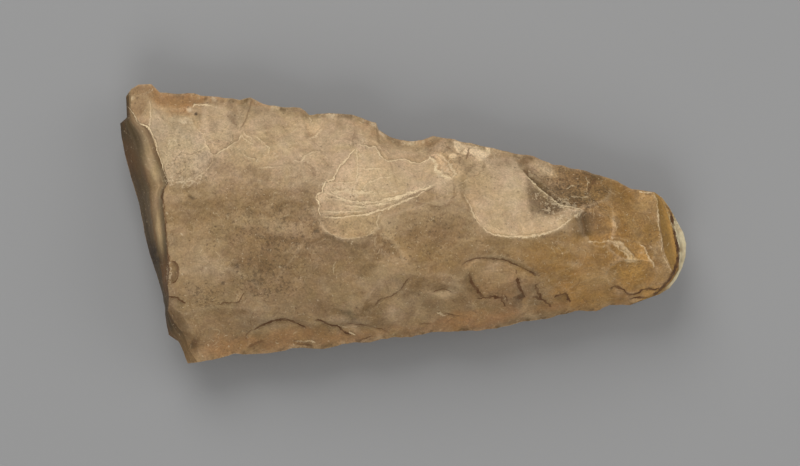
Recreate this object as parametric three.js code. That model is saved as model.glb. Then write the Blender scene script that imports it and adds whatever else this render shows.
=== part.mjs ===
// A flaked flint axe head, knapped on both faces and never ground, lying on its rounder face.
// The wide cutting end points to -X and the narrow butt to +X. Units are millimetres, +Z is up.
// The origin is on the surface that the stone lies on, under the middle of its outline.
// The stone is one piece: an upper and a lower sheet of flake scars that meet along the sharp rim.

import * as THREE from "three";
import { mergeGeometries, mergeVertices } from "three/addons/utils/BufferGeometryUtils.js";

// Driving dimensions
const LENGTH = 170;               // cutting edge to butt, along X
const WIDTH = 83.8;               // across the wide end, from corner to corner
const THICKNESS = 36;             // table to the highest part of the upper face
const RIM_HEIGHT = 15;            // table to the rim along both long sides
const CUTTING_EDGE_HEIGHT = 10.5; // table to the middle of the cutting edge
const BUTT_RIM_HEIGHT = 13;       // table to the rim at the tip of the butt
const RIM_SWAY = 1.3;             // how far the rim weaves up and down as the flakes alternate
const FLAT_DEPTH = 2.2;           // how much of the belly the resting flat takes off

// How finely the two sheets are divided, in columns along X and rows along Y
const BEVEL_COLUMNS = 5;
const BODY_COLUMNS = 74;
const BUTT_COLUMNS = 5;
const ROWS = 29;
const COLUMNS = BEVEL_COLUMNS + BODY_COLUMNS + BUTT_COLUMNS;

// Plan positions below are hundredths of the length, in X from the cutting edge's outermost point
// and in Y from the near corner. The drawn outline is this wide in the same unit.
const DRAWN_WIDTH = 49.3;

// The outline: the long rims, the cutting edge and the butt
const FAR_RIM = [
  [2.0, 48.4], [3.3, 49.2], [5.6, 49.3], [7.1, 47.8], [13.1, 47.8], [14.2, 47.3], [19.5, 46.9],
  [21.2, 46.5], [23.0, 47.0], [25.1, 46.0], [26.5, 45.6], [31.8, 45.2], [33.4, 44.1], [38.9, 44.2],
  [41.0, 43.9], [45.2, 42.6], [45.7, 41.3], [47.7, 40.0], [49.8, 39.5], [53.3, 39.4], [55.4, 40.2],
  [58.2, 39.9], [63.5, 38.5], [70.6, 37.1], [72.7, 36.7], [76.2, 35.3], [81.9, 34.2], [87.8, 32.2],
  [90.3, 30.9], [94.3, 30.2],
];
const NEAR_RIM = [
  [13.8, 0.2], [18.1, 0.9], [20.2, 1.5], [25.8, 1.7], [31.8, 2.7], [35.7, 2.5], [41.3, 3.6],
  [44.1, 3.7], [46.3, 4.3], [51.5, 4.5], [55.1, 5.5], [61.1, 5.6], [65.3, 5.9], [68.1, 6.4],
  [70.6, 7.2], [75.5, 7.9], [80.1, 9.1], [84.7, 9.2], [86.3, 10.2], [90.0, 10.3],
];
const CUTTING_EDGE = [
  [12.0, 0.0], [11.3, 1.6], [10.2, 3.9], [8.5, 5.0], [7.9, 9.1], [7.5, 12.2], [6.4, 15.8],
  [5.2, 19.3], [4.3, 22.8], [3.3, 28.1], [1.7, 33.4], [0.8, 36.9], [0.2, 40.1], [0.0, 42.4],
  [1.2, 43.4], [1.1, 47.1],
];
const BUTT_RIM = [
  [93.1, 11.5], [95.2, 12.2], [97.0, 13.3], [98.3, 14.9], [99.3, 16.9], [99.9, 18.9], [100, 21.1],
  [99.5, 23.0], [98.6, 24.6], [97.0, 27.4], [95.7, 29.2],
];

// The arris where the broad upper face meets the long bevel of the cutting end, and the one at the butt
const BEVEL_ARRIS = [
  [13.8, 0.2], [12.4, 2.2], [11.4, 5.2], [9.7, 7.3], [8.7, 9.3], [8.9, 11.7], [8.7, 14.0],
  [9.0, 16.5], [8.7, 20.2], [8.4, 23.9], [7.9, 28.1], [8.1, 30.6], [8.9, 31.8], [8.2, 34.1],
  [7.1, 36.7], [5.9, 40.1], [5.1, 41.5], [3.4, 42.7], [2.0, 44.8], [2.0, 48.4],
];
const BUTT_ARRIS = [
  [90.0, 10.3], [93.8, 12.2], [95.9, 14.0], [97.4, 15.9], [96.6, 17.7], [95.8, 19.6], [95.4, 22.1],
  [95.1, 25.3], [94.7, 27.8], [94.3, 30.2],
];

// The blank that the scars are struck from. Heights along the crest are shares of the thickness.
const CREST_AT = 0.42;            // where the crest is highest, as a share of the way to the butt
const CREST_FALL_CUTTING = 0.22;  // how much lower the crest is at the bevel's arris
const CREST_FALL_BUTT = 0.3;      // and at the butt's arris
const FACE_FULLNESS = 2.3;        // 2 is a parabola across the upper face, more is flatter-topped
const BELLY_FULLNESS = 2.2;       // the same across the belly
const BELLY_RISE_CUTTING = 3.2;   // how abruptly the belly rises to the cutting edge
const BELLY_RISE_BUTT = 2.6;      // and to the butt
const BEVEL_TURN = 0.45;          // share of the bevel's width where its two facets meet
const BEVEL_TURN_RISE = 0.62;     // how much of the bevel's height the outer facet takes up
const CORTEX_SHARE = 0.4;         // the butt's outer part, left with its chalky skin
const CORTEX_RISE = 0.42;         // how much of the butt's height the skin takes up
const CORTEX_STEP = 0.2;          // and the step at its inner side
const RIM_WAVES = 5.3;            // weaves of the rim over the length
const EDGE_EASE = 0.14;           // length over which the rim's height changes at each end
const DEEPEST_CUT = 0.55;         // no scar cuts deeper than this share of the stone above the rim
const LEAST_ROOM = 1e-6;          // stands for no room at all, where a share of the room is divided by
const SCAR_WOBBLE = 0.05;         // how far a scar's outline strays from an oval
const SCAR_LOBES = 3;             // how many times it does so round the scar

// One flake scar: a shallow bowl with its middle at x, y and its half sizes along and across, all in
// hundredths of the length, turned in degrees. Its depth is in hundredths of the thickness, and its
// wall is steeper with a larger wall number. Its floor slopes down towards +Y by lean hundredths.
function scar(x, y, along, across, turn, depth, wall = 3, lean = 0) {
  return { x, y, along, across, turn: THREE.MathUtils.degToRad(turn), depth, wall, lean };
}

const UPPER_SCARS = [
  // struck from the far rim, starting at the cutting end
  scar(10.0, 48.2, 6.2, 3.6, 0, 7, 2, 2),
  scar(2.6, 46.2, 2.6, 3.4, -20, 2.4),
  scar(11.2, 38.2, 6.6, 7.0, -12, 2.8, 5),
  scar(18.4, 42.4, 3.4, 5.6, 10, 4.4, 4),
  scar(26.4, 42.0, 6.4, 5.0, -12, 3.2),
  scar(29.4, 36.2, 8.4, 4.8, 6, 2.2),
  scar(37.4, 37.8, 7.0, 6.2, 20, 3.2, 4),
  scar(50.6, 40.6, 6.6, 4.6, 0, 11, 2.4, 2.5),
  scar(47.4, 33.0, 11.4, 7.0, 4, 4.8, 8, 1),
  scar(41.2, 26.4, 6.2, 4.6, 8, 3.4, 6),
  scar(57.0, 31.2, 2.7, 2.6, 0, 6.2, 4),
  scar(61.6, 37.2, 4.4, 2.4, -14, 3.4),
  scar(70.6, 31.2, 10.4, 8.9, -8, 6.2, 7, 1.2),
  scar(79.4, 33.0, 8.6, 4.9, -28, 12, 5, 3),
  scar(84.4, 25.4, 3.4, 4.8, 0, 5.6, 4),
  scar(90.2, 27.2, 6.0, 8.4, 10, 4.6, 4, 1),
  // struck from the near rim, starting at the cutting end
  scar(10.6, 4.2, 3.2, 6.0, 20, 6, 2.6, -2),
  scar(17.6, 6.2, 7.6, 5.4, 0, 3, 3, -1),
  scar(28.8, 3.6, 6.6, 4.6, 4, 5.5, 5, -1),
  scar(39.8, 4.4, 7.2, 3.2, -6, 5.5, 5, -1),
  scar(48.8, 10.6, 7.2, 4.8, 30, 4, 4),
  scar(56.6, 9.6, 5.6, 4.4, 0, 4, 4, 1),
  scar(67.4, 13.4, 7.0, 5.2, -10, 4.6, 6, 2),
  scar(75.2, 11.4, 5.0, 3.2, 0, 4, 4, 1),
  scar(83.0, 12.0, 5.0, 3.4, 10, 4.2, 4, 1),
  scar(90.0, 15.6, 4.6, 3.0, 6, 5.4, 5, -1),
  scar(90.2, 20.4, 4.2, 2.6, -18, 3.6, 4),
  // the older, shallow scars of the middle
  scar(20.4, 22.4, 13.0, 9.6, -6, 2.2),
  scar(16.8, 13.2, 8.4, 5.6, 8, 2.4),
  scar(37.2, 15.2, 10.2, 7.6, 14, 2.4),
  scar(53.8, 22.4, 9.4, 6.6, -10, 2.8),
  scar(79.6, 17.4, 8.6, 6.4, -14, 2.4),
];

// The belly's scars are struck in from both long rims by a loop
const BELLY_SCARS_A_SIDE = 9;
const BELLY_SCAR_SPREAD = 0.64;   // half size along the rim, as a share of the spacing
const BELLY_SCAR_REACH = 0.24;    // half size across, as a share of the stone's width there
const BELLY_SCAR_DEPTH = 6.5;     // hundredths of the thickness
const BELLY_SCAR_WALL = 2.6;
const BELLY_SCAR_STRAY = 0.4;     // how far a scar strays from even spacing, as a share of it
const BELLY_SCAR_LEAST = 0.7;     // the least that a scar's reach and depth are scaled by
const BELLY_SCAR_MOST = 1.2;      // the most that its depth is scaled by
const BELLY_SCAR_TURN = 25;       // how far it may be turned, in degrees
const GOLDEN_STEP = 0.618;        // spreads the scars' sizes without repeating

const vector = ([x, y]) => new THREE.Vector2(x * LENGTH / 100, y * WIDTH / DRAWN_WIDTH);
const line = (points) => new THREE.Path(points.map(vector));
const chord = (from, to) => new THREE.LineCurve(vector(from), vector(to));
const mix = THREE.MathUtils.lerp;

const cuttingEdge = line(CUTTING_EDGE);
const buttRim = line(BUTT_RIM);
const bevelArris = line(BEVEL_ARRIS);
const buttArris = line(BUTT_ARRIS);

// Each band of the plan has a near, a far, a left and a right side
const bevelBand = {
  near: chord(CUTTING_EDGE[0], BEVEL_ARRIS[0]),
  far: chord(CUTTING_EDGE.at(-1), BEVEL_ARRIS.at(-1)),
  left: cuttingEdge,
  right: bevelArris,
};
const bodyBand = { near: line(NEAR_RIM), far: line(FAR_RIM), left: bevelArris, right: buttArris };
const buttBand = {
  near: chord(BUTT_ARRIS[0], BUTT_RIM[0]),
  far: chord(BUTT_ARRIS.at(-1), BUTT_RIM.at(-1)),
  left: buttArris,
  right: buttRim,
};

// A point inside a band, evenly between its four sides
function inBand(band, s, t) {
  const left = band.left.getPointAt(t);
  const right = band.right.getPointAt(t);
  const near = band.near.getPointAt(s);
  const far = band.far.getPointAt(s);
  const corner = (axis) => mix(
    mix(band.left.getPointAt(0)[axis], band.right.getPointAt(0)[axis], s),
    mix(band.left.getPointAt(1)[axis], band.right.getPointAt(1)[axis], s),
    t,
  );
  const blend = (axis) => mix(left[axis], right[axis], s) + mix(near[axis], far[axis], t) - corner(axis);
  return new THREE.Vector2(blend("x"), blend("y"));
}

// Where the grid's point at s along and t across lies: its band, its share of that band, and its
// share of the whole way from the cutting edge to the butt
function planPlace(s, t) {
  const column = s * COLUMNS;
  let band = bodyBand;
  let share = (column - BEVEL_COLUMNS) / BODY_COLUMNS;
  if (column < BEVEL_COLUMNS) {
    band = bevelBand;
    share = column / BEVEL_COLUMNS;
  } else if (column > COLUMNS - BUTT_COLUMNS) {
    band = buttBand;
    share = (column - BEVEL_COLUMNS - BODY_COLUMNS) / BUTT_COLUMNS;
  }
  share = THREE.MathUtils.clamp(share, 0, 1);
  const spot = inBand(band, share, t);
  const start = cuttingEdge.getPointAt(t).x;
  const end = buttRim.getPointAt(t).x;
  return { spot, band, share, t, along: THREE.MathUtils.clamp((spot.x - start) / (end - start), 0, 1) };
}

// 0 on both long rims and 1 half way between them
const across = (t, fullness) => 1 - Math.abs(2 * t - 1) ** fullness;

function rimHeight(along, t) {
  const middle = across(t, 2);
  const atCuttingEdge = Math.max(0, 1 - along / EDGE_EASE) ** 2 * middle;
  const atButt = Math.max(0, 1 - (1 - along) / EDGE_EASE) ** 2 * middle;
  const weave = RIM_SWAY * Math.sin(2 * Math.PI * (RIM_WAVES * along + t));
  return RIM_HEIGHT + weave
    + (CUTTING_EDGE_HEIGHT - RIM_HEIGHT) * atCuttingEdge
    + (BUTT_RIM_HEIGHT - RIM_HEIGHT) * atButt;
}

function crestHeight(share) {
  const towardsButt = share > CREST_AT;
  const away = towardsButt ? (share - CREST_AT) / (1 - CREST_AT) : (CREST_AT - share) / CREST_AT;
  const fall = towardsButt ? CREST_FALL_BUTT : CREST_FALL_CUTTING;
  return THICKNESS * (1 - fall * away ** 2);
}

// How deep one scar is at a point, in millimetres, and below zero outside it
function depthOf(mark, spot) {
  const middle = vector([mark.x, mark.y]);
  const dx = spot.x - middle.x;
  const dy = spot.y - middle.y;
  const turned = spot.clone().sub(middle).rotateAround(new THREE.Vector2(), -mark.turn);
  const unit = LENGTH / 100;
  const reach = Math.hypot(turned.x / (mark.along * unit), turned.y / (mark.across * unit));
  const wobble = 1 + SCAR_WOBBLE * Math.sin(SCAR_LOBES * Math.atan2(dy, dx) + mark.x);
  const depth = mark.depth * THICKNESS / 100;
  return depth * (1 - (reach * wobble) ** mark.wall) + mark.lean * dy / 100;
}

// What the scars take off at a point: the deepest one wins, so neighbours meet in a sharp arris.
// The amount levels off towards a share of the room, so the sheets never cross.
function takenOff(scars, spot, room) {
  const deepest = Math.max(0, ...scars.map((mark) => depthOf(mark, spot)));
  const most = DEEPEST_CUT * Math.max(room, LEAST_ROOM);
  return most * (1 - Math.exp(-deepest / most));
}

function faceHeight(spot, share, along, t) {
  const rim = rimHeight(along, t);
  const blank = rim + (crestHeight(share) - rim) * across(t, FACE_FULLNESS);
  return blank - takenOff(UPPER_SCARS, spot, blank - rim);
}

// The height on an arris, where a band starts to fall to the rim
function arrisHeight(arris, share, t) {
  const spot = arris.getPointAt(t);
  const start = cuttingEdge.getPointAt(t).x;
  const end = buttRim.getPointAt(t).x;
  return faceHeight(spot, share, (spot.x - start) / (end - start), t);
}

// From the cutting edge up to the bevel's arris: a steep outer facet and an easier inner one
function bevelRise(up) {
  if (up < BEVEL_TURN) {
    return BEVEL_TURN_RISE * up / BEVEL_TURN;
  }
  return mix(BEVEL_TURN_RISE, 1, (up - BEVEL_TURN) / (1 - BEVEL_TURN));
}

// From the butt's rim up to its arris: chalky skin, a step, and a smooth slope
function buttRise(up) {
  if (up < CORTEX_SHARE) {
    return CORTEX_RISE * (up / CORTEX_SHARE);
  }
  const left = 1 - CORTEX_RISE - CORTEX_STEP;
  return CORTEX_RISE + CORTEX_STEP + left * (up - CORTEX_SHARE) / (1 - CORTEX_SHARE);
}

function upperHeight({ spot, band, share, along, t }) {
  const rim = rimHeight(along, t);
  if (band === bevelBand) {
    return mix(rim, arrisHeight(bevelArris, 0, t), bevelRise(share));
  }
  if (band === buttBand) {
    return mix(rim, arrisHeight(buttArris, 1, t), buttRise(1 - share));
  }
  return faceHeight(spot, share, along, t);
}

function bellyFullness(along) {
  const towardsButt = along > CREST_AT;
  const away = towardsButt ? (along - CREST_AT) / (1 - CREST_AT) : (CREST_AT - along) / CREST_AT;
  return 1 - away ** (towardsButt ? BELLY_RISE_BUTT : BELLY_RISE_CUTTING);
}

function bellyScars() {
  const scars = [];
  for (const side of [0, 1]) {
    for (let k = 0; k < BELLY_SCARS_A_SIDE; k++) {
      const chance = (GOLDEN_STEP * (k + 1) * (side + 2)) % 1;
      const s = (k + 0.5 + BELLY_SCAR_STRAY * (chance - 0.5)) / BELLY_SCARS_A_SIDE;
      const rim = (side ? bodyBand.far : bodyBand.near).getPointAt(s);
      const other = (side ? bodyBand.near : bodyBand.far).getPointAt(s);
      const stoneWidth = rim.distanceTo(other);
      const middle = rim.clone().lerp(other, BELLY_SCAR_REACH * mix(BELLY_SCAR_LEAST, 1, chance));
      scars.push(scar(
        middle.x * 100 / LENGTH,
        middle.y * DRAWN_WIDTH / WIDTH,
        BELLY_SCAR_SPREAD * 100 / BELLY_SCARS_A_SIDE,
        BELLY_SCAR_REACH * stoneWidth * 100 / LENGTH,
        mix(-BELLY_SCAR_TURN, BELLY_SCAR_TURN, chance),
        BELLY_SCAR_DEPTH * mix(BELLY_SCAR_LEAST, BELLY_SCAR_MOST, chance),
        BELLY_SCAR_WALL,
      ));
    }
  }
  return scars;
}

const LOWER_SCARS = bellyScars();

function lowerHeight({ spot, along, t }) {
  const rim = rimHeight(along, t);
  const drop = (rim + FLAT_DEPTH) * bellyFullness(along) * across(t, BELLY_FULLNESS);
  return Math.max(0, rim - drop + takenOff(LOWER_SCARS, spot, drop));
}

// One sheet over the plan. Each cell is split along the diagonal that follows the stone better.
function sheet(heightAt, facesUp) {
  const geometry = new THREE.PlaneGeometry(1, 1, COLUMNS, ROWS);
  geometry.deleteAttribute("uv");
  geometry.deleteAttribute("normal");
  const position = geometry.attributes.position;
  for (let i = 0; i < position.count; i++) {
    const place = planPlace(position.getX(i) + 0.5, position.getY(i) + 0.5);
    const onRim = place.t === 0 || place.t === 1 || place.along === 0 || place.along === 1;
    const height = onRim ? rimHeight(place.along, place.t) : heightAt(place);
    position.setXYZ(i, place.spot.x, place.spot.y, height);
  }
  const index = [];
  const corner = (row, column) => row * (COLUMNS + 1) + column;
  for (let row = 0; row < ROWS; row++) {
    for (let column = 0; column < COLUMNS; column++) {
      const a = corner(row, column);
      const b = corner(row + 1, column);
      const c = corner(row + 1, column + 1);
      const d = corner(row, column + 1);
      const trueHeight = heightAt(planPlace((column + 0.5) / COLUMNS, 1 - (row + 0.5) / ROWS));
      const missBy = (p, q) => Math.abs(trueHeight - (position.getZ(p) + position.getZ(q)) / 2);
      const cell = missBy(a, c) < missBy(b, d) ? [a, b, c, a, c, d] : [a, b, d, b, c, d];
      index.push(...(facesUp ? cell : cell.reverse()));
    }
  }
  geometry.setIndex(index);
  return geometry;
}

function flintGeometry() {
  const shell = mergeVertices(mergeGeometries([sheet(upperHeight, true), sheet(lowerHeight, false)]));
  shell.computeBoundingBox();
  const middle = shell.boundingBox.getCenter(new THREE.Vector3());
  shell.translate(-middle.x, -middle.y, 0);
  shell.computeVertexNormals();
  return shell;
}

const patinatedFlint = new THREE.MeshStandardMaterial({ color: 0xa58a66, roughness: 0.55, metalness: 0 });

const stone = new THREE.Mesh(flintGeometry(), patinatedFlint);
stone.name = "axe_head";

const axe = new THREE.Group();
axe.name = "flint_axe";
axe.add(stone);

export default axe;
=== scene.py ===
"""A flaked flint axe head, lying on its rounder face.

It is one piece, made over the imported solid: the outline, bevel, crest and flake scars follow the
solid's own plan, and this script adds the finer relief and the patina. The wide cutting end points
to -X and the narrow butt to +X. The relief is worked out in millimetres and brought to metres at
the end. Plan positions are hundredths of the length, from the cutting edge's outermost point and
the near corner, as in the solid.
"""

import math

import bpy
import numpy as np
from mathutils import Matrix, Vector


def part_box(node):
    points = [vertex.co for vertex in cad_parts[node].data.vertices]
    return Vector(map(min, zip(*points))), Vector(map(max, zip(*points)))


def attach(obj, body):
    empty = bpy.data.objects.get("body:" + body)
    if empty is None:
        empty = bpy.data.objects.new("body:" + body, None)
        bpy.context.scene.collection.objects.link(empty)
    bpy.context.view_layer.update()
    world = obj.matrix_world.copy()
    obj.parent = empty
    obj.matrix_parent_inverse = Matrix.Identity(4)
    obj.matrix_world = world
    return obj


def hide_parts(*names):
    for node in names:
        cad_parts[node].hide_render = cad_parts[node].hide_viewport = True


bl_info = {
    "name": "Flaked flint axe head",
    "version": (1, 0, 0),
    "blender": (4, 5, 0),
    "location": "3D View > Sidebar > Flint",
    "description": "Makes a flaked flint axe head with its patina, and the stage it lies on",
    "category": "Object",
}

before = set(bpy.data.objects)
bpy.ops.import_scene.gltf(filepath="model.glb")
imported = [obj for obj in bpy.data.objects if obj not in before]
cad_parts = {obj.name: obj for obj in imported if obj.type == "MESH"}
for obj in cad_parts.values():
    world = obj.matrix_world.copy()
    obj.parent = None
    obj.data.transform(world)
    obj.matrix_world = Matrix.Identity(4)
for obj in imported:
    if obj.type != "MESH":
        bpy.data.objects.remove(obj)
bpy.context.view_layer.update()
LOW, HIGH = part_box("axe_head")

MM = 0.001
NICKS = 150          # small ledges and scratches of the upper face
RIM_EVENED = 14      # columns over which the big notch's corners fade into the face
DRAWN_WIDTH = 49.3   # width of the drawn outline, in hundredths of the length

# ---- The plan, in hundredths of the length ----


def pairs(*numbers):
    """Points of the plan, from their x and y in turn."""
    return np.reshape(numbers, (-1, 2))


def curved(*numbers, **effects):
    """A line that bends smoothly through its points, and what it does."""
    return {"points": pairs(*numbers), "bends": True, **effects}


def cornered(*numbers, **effects):
    """A line that keeps its corners, where a flake stopped in steps."""
    return {**curved(*numbers, **effects), "bends": False}


FAR_RIM = pairs(
    2, 48.4, 3.3, 49.2, 5.6, 49.3, 7.1, 47.8, 13.1, 47.8, 14.2, 47.3, 19.5, 46.9, 21.2, 46.5, 23, 47,
    25.1, 46, 26.5, 45.6, 31.8, 45.2, 33.4, 44.1, 38.9, 44.2, 41, 43.9, 45.2, 42.6, 45.7, 41.3, 47.7, 40,
    49.8, 39.5, 53.3, 39.4, 55.4, 40.2, 58.2, 39.9, 63.5, 38.5, 70.6, 37.1, 72.7, 36.7, 76.2, 35.3, 81.9,
    34.2, 87.8, 32.2, 90.3, 30.9, 94.3, 30.2,
)
NEAR_RIM = pairs(
    13.8, 0.2, 18.1, 0.9, 20.2, 1.5, 25.8, 1.7, 31.8, 2.7, 35.7, 2.5, 41.3, 3.6, 44.1, 3.7, 46.3, 4.3,
    51.5, 4.5, 55.1, 5.5, 61.1, 5.6, 65.3, 5.9, 68.1, 6.4, 70.6, 7.2, 75.5, 7.9, 80.1, 9.1, 84.7, 9.2,
    86.3, 10.2, 90, 10.3,
)
CUTTING_EDGE = pairs(
    12, 0, 11.3, 1.6, 10.2, 3.9, 8.5, 5, 7.9, 9.1, 7.5, 12.2, 6.4, 15.8, 5.2, 19.3, 4.3, 22.8, 3.3, 28.1,
    1.7, 33.4, 0.8, 36.9, 0.2, 40.1, 0, 42.4, 1.2, 43.4, 1.1, 47.1,
)
BUTT_RIM = pairs(
    93.1, 11.5, 95.2, 12.2, 97, 13.3, 98.3, 14.9, 99.3, 16.9, 99.9, 18.9, 100, 21.1, 99.5, 23, 98.6, 24.6,
    97, 27.4, 95.7, 29.2,
)
BEVEL_ARRIS = pairs(
    13.8, 0.2, 12.4, 2.2, 11.4, 5.2, 9.7, 7.3, 8.7, 9.3, 8.9, 11.7, 8.7, 14, 9, 16.5, 8.7, 20.2, 8.4,
    23.9, 7.9, 28.1, 8.1, 30.6, 8.9, 31.8, 8.2, 34.1, 7.1, 36.7, 5.9, 40.1, 5.1, 41.5, 3.4, 42.7, 2, 44.8,
    2, 48.4,
)
BUTT_ARRIS = pairs(
    90, 10.3, 93.8, 12.2, 95.9, 14, 97.4, 15.9, 96.6, 17.7, 95.8, 19.6, 95.4, 22.1, 95.1, 25.3, 94.7,
    27.8, 94.3, 30.2,
)

# How finely the two faces are divided
BEVEL_COLUMNS = 38
BODY_COLUMNS = 368
BUTT_COLUMNS = 26
COLUMNS = BEVEL_COLUMNS + BODY_COLUMNS + BUTT_COLUMNS
ROWS = 180
BELLY_KEPT = 0.24    # share of the belly's triangles that are kept, since it is plainer

# ---- The blank, as in the solid ----

CREST_AT = 0.42
CREST_FALL_CUTTING = 0.22
CREST_FALL_BUTT = 0.3
FACE_FULLNESS = 2.3
BELLY_FULLNESS = 2.2
BELLY_RISE_CUTTING = 3.2
BELLY_RISE_BUTT = 2.6
BEVEL_TURN = 0.45
BEVEL_TURN_RISE = 0.62
CORTEX_SHARE = 0.4
CORTEX_RISE = 0.42
CORTEX_STEP = 0.2
RIM_WAVES = 5.3
EDGE_EASE = 0.14
DEEPEST_CUT = 0.55
RIDGE_WIDTH = 0.06       # how sharply the ridge between two scars ends, in millimetres
RIDGE_LEAST_CUT = 0.15   # scars shallower than this leave no ridge
SMOOTH_ANGLE = 38        # degrees, past which a crease stays sharp
WELD_DISTANCE = 0.002 * MM

# One flake scar each: middle x and y, half size along and across, turn in degrees, depth in
# hundredths of the thickness, how steep its wall is, and its floor's slope down towards +Y
UPPER_SCARS = [
    # struck from the far rim, starting at the cutting end
    (10, 48.2, 6.2, 3.6, 0, 7, 2, 2),
    (2.6, 46.2, 2.6, 3.4, -20, 2.4, 3, 0),
    (11.2, 38.2, 6.6, 7, -12, 2.8, 5, 0),
    (18.4, 42.4, 3.4, 5.6, 10, 4.4, 4, 0),
    (26.4, 42, 6.4, 5, -12, 3.2, 3, 0),
    (29.4, 36.2, 8.4, 4.8, 6, 2.2, 3, 0),
    (37.4, 37.8, 7, 6.2, 20, 3.2, 4, 0),
    (50.6, 40.6, 6.6, 4.6, 0, 11, 2.4, 2.5),
    (47.4, 33, 11.4, 7, 4, 4.8, 8, 1),
    (41.2, 26.4, 6.2, 4.6, 8, 3.4, 6, 0),
    (57, 31.2, 2.7, 2.6, 0, 3.4, 4, 0),
    (61.6, 37.2, 4.4, 2.4, -14, 3.4, 3, 0),
    (70.6, 31.2, 10.4, 8.9, -8, 6.2, 7, 1.2),
    (79.4, 33, 8.6, 4.9, -28, 12, 5, 3),
    (84.4, 25.4, 3.4, 4.8, 0, 5.6, 4, 0),
    (90.2, 27.2, 6, 8.4, 10, 4.6, 4, 1),
    # struck from the near rim, starting at the cutting end
    (10.6, 4.2, 3.2, 6, 20, 6, 2.6, -2),
    (17.6, 6.2, 7.6, 5.4, 0, 3, 3, -1),
    (28.8, 3.6, 6.6, 4.6, 4, 5.5, 5, -1),
    (39.8, 4.4, 7.2, 3.2, -6, 5.5, 5, -1),
    (48.8, 10.6, 7.2, 4.8, 30, 4, 4, 0),
    (56.6, 9.6, 5.6, 4.4, 0, 4, 4, 1),
    (67.4, 13.4, 7, 5.2, -10, 4.6, 6, 2),
    (75.2, 11.4, 5, 3.2, 0, 4, 4, 1),
    (83, 12, 5, 3.4, 10, 4.2, 4, 1),
    (90, 15.6, 4.6, 3, 6, 5.4, 5, -1),
    (90.2, 20.4, 4.2, 2.6, -18, 3.6, 4, 0),
    # the older, shallow scars of the middle
    (20.4, 22.4, 13, 9.6, -6, 2.2, 3, 0),
    (16.8, 13.2, 8.4, 5.6, 8, 2.4, 3, 0),
    (37.2, 15.2, 10.2, 7.6, 14, 2.4, 3, 0),
    (53.8, 22.4, 9.4, 6.6, -10, 2.8, 3, 0),
    (79.6, 17.4, 8.6, 6.4, -14, 2.4, 3, 0),
]

# The belly's scars are struck in from both long rims by a loop
BELLY_SCARS_A_SIDE = 9
BELLY_SCAR_SPREAD = 0.64
BELLY_SCAR_REACH = 0.24
BELLY_SCAR_DEPTH = 6.5
BELLY_SCAR_WALL = 2.6
GOLDEN_STEP = 0.618

# ---- The lines where scars meet, end or crack ----

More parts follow.
